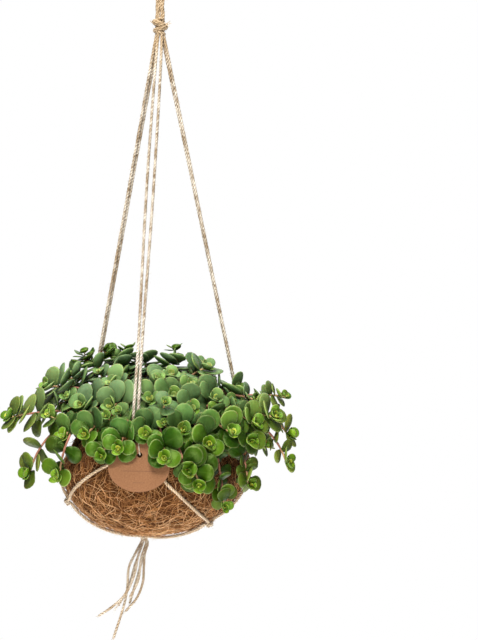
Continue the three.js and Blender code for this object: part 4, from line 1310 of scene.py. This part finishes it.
for parent in long_stems[::2]:
    place, ahead = along_stem(parent["route"], route_length(parent["route"]) / 2)
    for _ in range(SHOOT_TRIES):
        aside = np.array([draw() - 0.5, draw() - 0.5, 0.35 * (draw() - 0.5)])
        heading = [0, 0, SHOOT_UP] + SHOOT_OUT * flat_way(place) + SHOOT_AHEAD * ahead
        heading = unit(heading + SHOOT_ASIDE * aside)
        tip = place + heading * (SHOOT_LENGTH[0] + draw() * (SHOOT_LENGTH[1] - SHOOT_LENGTH[0]))
        ends = np.array([place, place + 0.4 * (tip - place) + 2 * aside, tip - [0, 0, 2], tip])
        shoot = new_shoot(parent["spray"], SHOOT_SIZE * parent["size"], ends, bloom=1)
        samples = shoot["samples"]
        if (distances(samples, obstacle_places) < obstacle_radii + SHOOT_CLEAR["hanger"]).any():
            continue
        if in_ball(samples, SHOOT_CLEAR["ball"]).any():
            continue
        if distances(samples, stem_places[stem_owner != parent["number"]]).min() < SHOOT_CLEAR["stem"]:
            continue
        if any(touches(samples, np.ones(len(samples)), leaf, SHOOT_CLEAR["leaf"]) for leaf in leaves):
            continue
        shoot["twist"] = draw()
        take_up(shoot)
        break
shoots = stems[len(long_stems):]
set_leaves(RANKS[:3], shoots, SHOOT_LEAFY_SHARE, MORE_TRIES, MORE_LEAF_GAP)
set_leaves(BUD_RANKS, shoots, 1, MORE_TRIES, 0.0, crowded=True)

# More leaves fill the canopy, and older ones hide the stems. Two hanging sprays stay sparse, so that
# their bare stems show.
SPARSE = ("hanging_right", "low_left")
set_leaves(MORE_RANKS, long_stems, MORE_LEAFY_SHARE, MORE_TRIES, MORE_LEAF_GAP, sparse=SPARSE)

# Upright shoots: a few stems stand out of the top of the canopy, with small leaves in a close stack.
UPRIGHT_TIPS = [
    ("high_left", (-74, 34, 115)), ("crown_left", (-54, 36, 117)), ("crown_left", (-30, 40, 119)),
    ("crown_back", (18, 36, 119)),
]
UPRIGHT_DROP = (0, 0, 16)
STACKED_RANKS = as_ranks(
    (1.2 + 2.4 * step, 0.42 + 0.06 * step, 58 + 4 * step, 1, 0.5 + 0.08 * step, 90 * step)
    for step in range(6)
)
upright = []
for spray_name, tip in UPRIGHT_TIPS:
    tip = np.array(tip, float)
    routes = np.vstack([stem["route"] for stem in long_stems if stem["spray"] == spray_name])
    place = routes[np.linalg.norm(routes - tip + UPRIGHT_DROP, axis=1).argmin()]
    ends = np.array([place, place + 0.3 * (tip - place), tip - [0, 0, 7], tip])
    upright.append({**new_shoot(spray_name, 1, ends, bloom=0), "twist": draw()})
for stem in upright:
    take_up(stem)
set_leaves(STACKED_RANKS, upright, 1, WIDE_TRIES, 0.0, crowded=True)

# The last leaves close the gaps that are left in the crown and at the back.
FILL_SPRAYS = ("high_left", "crown_left", "left_top", "crown_front", "back_left", "back_mid")
FILL_RANKS = as_ranks(
    (back, 0.85, 76, 0.3, 0.95, 30 + 70 * turn) for turn, back in enumerate((18, 25, 33, 42, 52, 62))
)
filled = [stem for stem in long_stems if stem["spray"] in FILL_SPRAYS]
set_leaves(FILL_RANKS, filled, MORE_LEAFY_SHARE, MORE_TRIES, 0.0)

LEAF_SIDES = 14
LEAF_RINGS = [(0.42, 0.93), (0.76, 0.68), (0.93, 0.38), (1.0, 0.0), (0.8, -0.55), (0.45, -0.95)]


def blade():
    """One leaf of length 1 along X from its neck at 0, flat, with a thick middle and a round edge."""
    places, discs = [(NECK_LENGTH, 0, FLESHY / 2)], [(0, 0, 0)]
    for reach, thick in LEAF_RINGS:
        for turn in full_turn(LEAF_SIDES):
            along, aside = math.cos(turn) * reach, math.sin(turn) * reach
            x = NECK_LENGTH + HALF_LONG * along
            y = HALF_WIDE * aside * (1 + EGG_SHAPE * along)
            z, share = FLESHY / 2 * thick, reach
            if along < -0.9 * reach:
                x, z, share = x - 0.09 * reach, z * 0.8 + 0.01, 0.45 * reach
            elif along < -0.8 * reach:
                y, share = y * 0.86, 0.85 * reach
            places.append((x, y, z))
            discs.append((along, aside, share))
    places.append((NECK_LENGTH, 0, -FLESHY / 2))
    discs.append((0, 0, 0))
    last = 1 + (len(LEAF_RINGS) - 1) * LEAF_SIDES
    faces = []
    for i, j in neighbours(LEAF_SIDES):
        faces.append((0, 1 + i, 1 + j))
        for a in range(1, last, LEAF_SIDES):
            b = a + LEAF_SIDES
            faces.append((a + i, b + i, b + j, a + j))
        faces.append((last + j, last + i, len(places) - 1))
    mesh = bpy.data.meshes.new("blade")
    mesh.from_pydata(places, [], faces)
    disc = mesh.attributes.new("disc", "FLOAT_VECTOR", "POINT")
    disc.data.foreach_set("vector", np.array(discs, float).ravel())
    return new_object("blade", mesh)


VECTORS = ("axis", "face", "span")
SHAPE_NUMBERS = ("size", "cup", "curl", "girth", "is_leaf")
start, wires = new_rule("leafy_stems", "Shape", "Finish", "Bark")
named = {}
for label in (*VECTORS, "disc", *SHAPE_NUMBERS):
    kind = "FLOAT" if label in SHAPE_NUMBERS else "FLOAT_VECTOR"
    named[label] = start.node("GeometryNodeInputNamedAttribute", {"data_type": kind}, Name=label)
parts = start.node(
    "GeometryNodeSeparateGeometry",
    Geometry=wires["Geometry"], Selection=named["is_leaf"].math("GREATER_THAN", 0.5),
)
turned_leaf = start.node(
    "FunctionNodeAxesToRotation", {"primary_axis": "Z", "secondary_axis": "X"},
    Primary_Axis=named["face"], Secondary_Axis=named["axis"],
)
foliage = start.node(
    "GeometryNodeInstanceOnPoints",
    Points=start.node("GeometryNodeMeshToPoints", Mesh=parts),
    Instance=start.node("GeometryNodeObjectInfo", Object=wires["Shape"], output="Geometry"),
    Rotation=turned_leaf, Scale=named["span"],
)
along, _, far_out = named["disc"].axes()
bent = named["cup"] * far_out**1.6 + named["curl"] * along * along.size()
foliage = moved(realized(foliage), Offset=named["face"].scaled(bent * named["size"]))
stalks = start.node("GeometryNodeMeshToCurve", Mesh=parts.other("Inverted"))
stalks = tube_along(stalks, round_section(start, 7, 1.0), named["girth"])
dressings = [dressed(foliage, wires["Finish"]), dressed(stalks, wires["Bark"])]
leafy_rule = close_rule(start.node("GeometryNodeJoinGeometry", Geometry=dressings))

# Leaf skin: the youngest leaves are lime, the grown ones deep green and the outermost ones olive. The leaves
# on the top of the plant get a painted grey sheen for the bright sky they reflect; leaves that hang low,
# the oldest ones deep in the canopy and each leaf's base are darkened with painted shade.
LEAF_SHADE_BELOW = -455
OLIVE_LEAVES = -485
OLIVE_REACH = 82
leaf_finish, start, feed = new_finish(
    "fleshy_leaf", Specular_IOR_Level=0.32, Specular_Tint=(0.7, 1, 0.3, 1),
    Subsurface_Weight=0.12, Subsurface_Scale=0.002,
)
spot = on_object(start)
age, tone, bloom = (painted(start, label) for label in ("age", "tone", "bloom"))
along, aside, far_out = painted(start, "disc", "Vector").axes()
across, _, height = spot.axes()
mottle = grain(spot, 160.0, 4.0, 0.6)
fine = grain(spot, 900.0, 3.0, 0.6)
drift = (grain(spot, 16.0, 1.0) * 2.6 - 0.8).limited()
deep = drift.mixed((0.006, 0.028, 0.0005), (0.013, 0.034, 0.0002))
bright = drift.mixed((0.036, 0.115, 0.009), (0.07, 0.138, 0.002))
# Painted shade: leaves below this height are darkened towards deep green, for the shade that falls on the low
# leaves.
under = ((LEAF_SHADE_BELOW * MM - height) * 25.0).limited()
old = (tone * 0.85 + mottle * 0.9 - 0.38).limited().mixed(deep, bright)
# Painted shade: the oldest leaves, deep inside the canopy, are darkened towards deep green.
old = (((age - 0.85) * 6.0).limited() * 0.55).mixed(old, deep)
old = (under * 0.55).mixed(old, deep)
blotches = (tone * 0.8 + mottle * 0.4).limited()
fresh = blotches.mixed((0.05, 0.13, 0.003), (0.15, 0.27, 0.012))
olive = blotches.mixed((0.045, 0.065, 0.006), (0.2, 0.225, 0.04))
lower = (OLIVE_LEAVES * MM - height).math("MAXIMUM", 0.0)
from_middle = (across - BALL_CENTRE[0] * MM).size()
outermost = ((from_middle + lower * 0.6 - OLIVE_REACH * MM) * 26.0).limited() * 0.75
bud = mottle.mixed((0.34, 0.4, 0.02), (0.5, 0.52, 0.06))
colour = ((age - 0.02) * 8.0).limited().mixed(bud, fresh)
colour = ((age - 0.3) * 3.2).limited().mixed(colour, outermost.mixed(old, olive))
# More painted shade on the low leaves, except the outermost ones.
colour = (under * (1 - outermost) * 0.25).mixed(colour, deep)
vein = (1 - (aside * 12.0).size()).limited() * (0.5 - along * 0.6).limited() * 0.25
colour = vein.mixed(colour, (0.16, 0.3, 0.05))
# Painted reflection: the leaves on top of the plant are greyed as if they reflect the bright sky; there they
# are also rougher.
waxy_sky_sheen = (bloom * (mottle * 0.8 + 0.45)).limited() * 0.55
colour = waxy_sky_sheen.mixed(colour, (0.2, 0.3, 0.165))
shaded = (0.35 - along * 0.65).limited() * 0.7
colour = shaded.mixed(colour, (0.004, 0.018, 0.001))
edge = ((far_out - 0.86) * 8.0).limited() * (0.95 - age * 1.05).math("MAXIMUM", 0.1) * (tone * 0.5 + 0.6)
colour = edge.mixed(colour, (0.42, 0.5, 0.19))
feed(
    Base_Color=colour,
    Roughness=(waxy_sky_sheen * 0.35 + 0.28 + fine * 0.16).limited(),
    Normal=bumped(fine * 0.12 + mottle * 0.3 - far_out**2.0, 0.0022),
)

bark_finish, start, feed = new_finish("stem_skin", Roughness=0.6, Specular_IOR_Level=0.3)
scars = grain(on_object(start), 500.0, 4.0, 0.7)
grown = (painted(start, "age") * 1.4 - 0.1).limited()
bark = scars.mixed((0.17, 0.055, 0.03), (0.42, 0.19, 0.12))
feed(Base_Color=grown.mixed((0.42, 0.3, 0.12), bark), Normal=bumped(scars, 0.0006))

# Each spray is one piece: its stems, thickened at the nodes where leaves stood, and its leaves. The
# grown-out tips of four trailing sprays carry larger young leaves.
FULL_TIPS = {"hanging_right": 1.5, "low_right": 1.4, "far_right": 1.2, "low_left": 1.2}
YOUNG_AGE = 0.7
STALK_STEP = 1.6
STALK_RADIUS = 1.45
SHOOT_RADIUS = 0.95
STALK_TAPER = 0.35
SWELLING = 0.22
SWOLLEN_LENGTH = 0.9
STALK_AGES_OVER = 26
SHEEN_FROM = 42
FULL_SHEEN = 38
SHEEN_MIDDLE = -10
SHEEN_FADE = 1.6
SHEEN_REACH = 110
LEAF_SPANS = ((0.95, 1.06), (0.92, 1.1), (1.1, 1.7))
leaf_shape = blade()
wander = np.random.default_rng(7)
for spray_name in SPRAYS:
    places, edges = [], []
    columns = {label: [] for label in (*VECTORS, *SHAPE_NUMBERS, "age", "tone", "bloom")}
    for stem in (each for each in stems if each["spray"] == spray_name):
        line = spaced(bezier(stem["ends"], np.linspace(0, 1, 60)), STALK_STEP)
        first = len(places)
        share = np.linspace(0, 1, len(line))
        thick = (SHOOT_RADIUS if stem["shoot"] else STALK_RADIUS) * (1 - STALK_TAPER * share)
        back = (1 - share) * route_length(line)
        for rank in RANKS[1:] + MORE_RANKS:
            thick = thick * (1 + SWELLING * np.exp(-(((back - rank["back"]) / SWOLLEN_LENGTH) ** 2)))
        places.extend(line)
        edges.extend((first + i, first + i + 1) for i in range(len(line) - 1))
        rows = {"girth": thick * MM, "age": np.clip(back / STALK_AGES_OVER, 0, 1)}
        for label, column in columns.items():
            blank = np.zeros((len(line), 3) if label in VECTORS else len(line))
            column.append(rows.get(label, blank))
    for leaf in (each for each in leaves if each["stem"]["spray"] == spray_name):
        places.append(leaf["root"])
        x, y, height = leaf["centre"]
        rank, age = leaf["rank"], leaf["rank"]["age"]
        size = leaf["size"] * MM * (FULL_TIPS.get(spray_name, 1) if age < YOUNG_AGE else 1)
        cupped = rank.get("cup", 0.2 * max(0, YOUNG_AGE - age))
        # Painted reflection: leaves high on the plant and near its middle take a grey sheen for the sky they
        # reflect.
        middle = np.clip(SHEEN_FADE - math.hypot(x - SHEEN_MIDDLE, y) / SHEEN_REACH, 0, 1)
        bloom = leaf["stem"]["bloom"] * np.clip((height - SHEEN_FROM) / FULL_SHEEN, 0, 1) * middle
        row = {
            "axis": leaf["axis"], "face": leaf["face"], "size": size, "girth": 0, "is_leaf": 1,
            "span": size * np.array([wander.uniform(*limits) for limits in LEAF_SPANS]),
            "cup": CUP * wander.uniform(-0.3, 0.8) + cupped,
            "curl": wander.normal(0, 0.07),
            "age": np.clip(age + wander.normal(0, 0.05), 0, 1),
            "tone": wander.beta(0.6, 0.7),
            "bloom": bloom * wander.uniform(0.5, 1.1),
        }
        for label, column in columns.items():
            column.append([row[label]])
    mesh = plain_mesh(f"leafy_{spray_name}", np.array(places) + BALL_CENTRE, [], edges)
    for label, column in columns.items():
        kind, field = ("FLOAT_VECTOR", "vector") if label in VECTORS else ("FLOAT", "value")
        painting = mesh.attributes.new(label, kind, "POINT")
        painting.data.foreach_set(field, np.concatenate(column).astype(float).ravel())
    values = {"Shape": leaf_shape, "Finish": leaf_finish, "Bark": bark_finish}
    piece = grow(f"leafy_{spray_name}", mesh, leafy_rule, "leaf", f"spray_{spray_name}", **values)
    for label in (*VECTORS, *SHAPE_NUMBERS):
        piece.data.attributes.remove(piece.data.attributes[label])
bpy.data.objects.remove(leaf_shape)
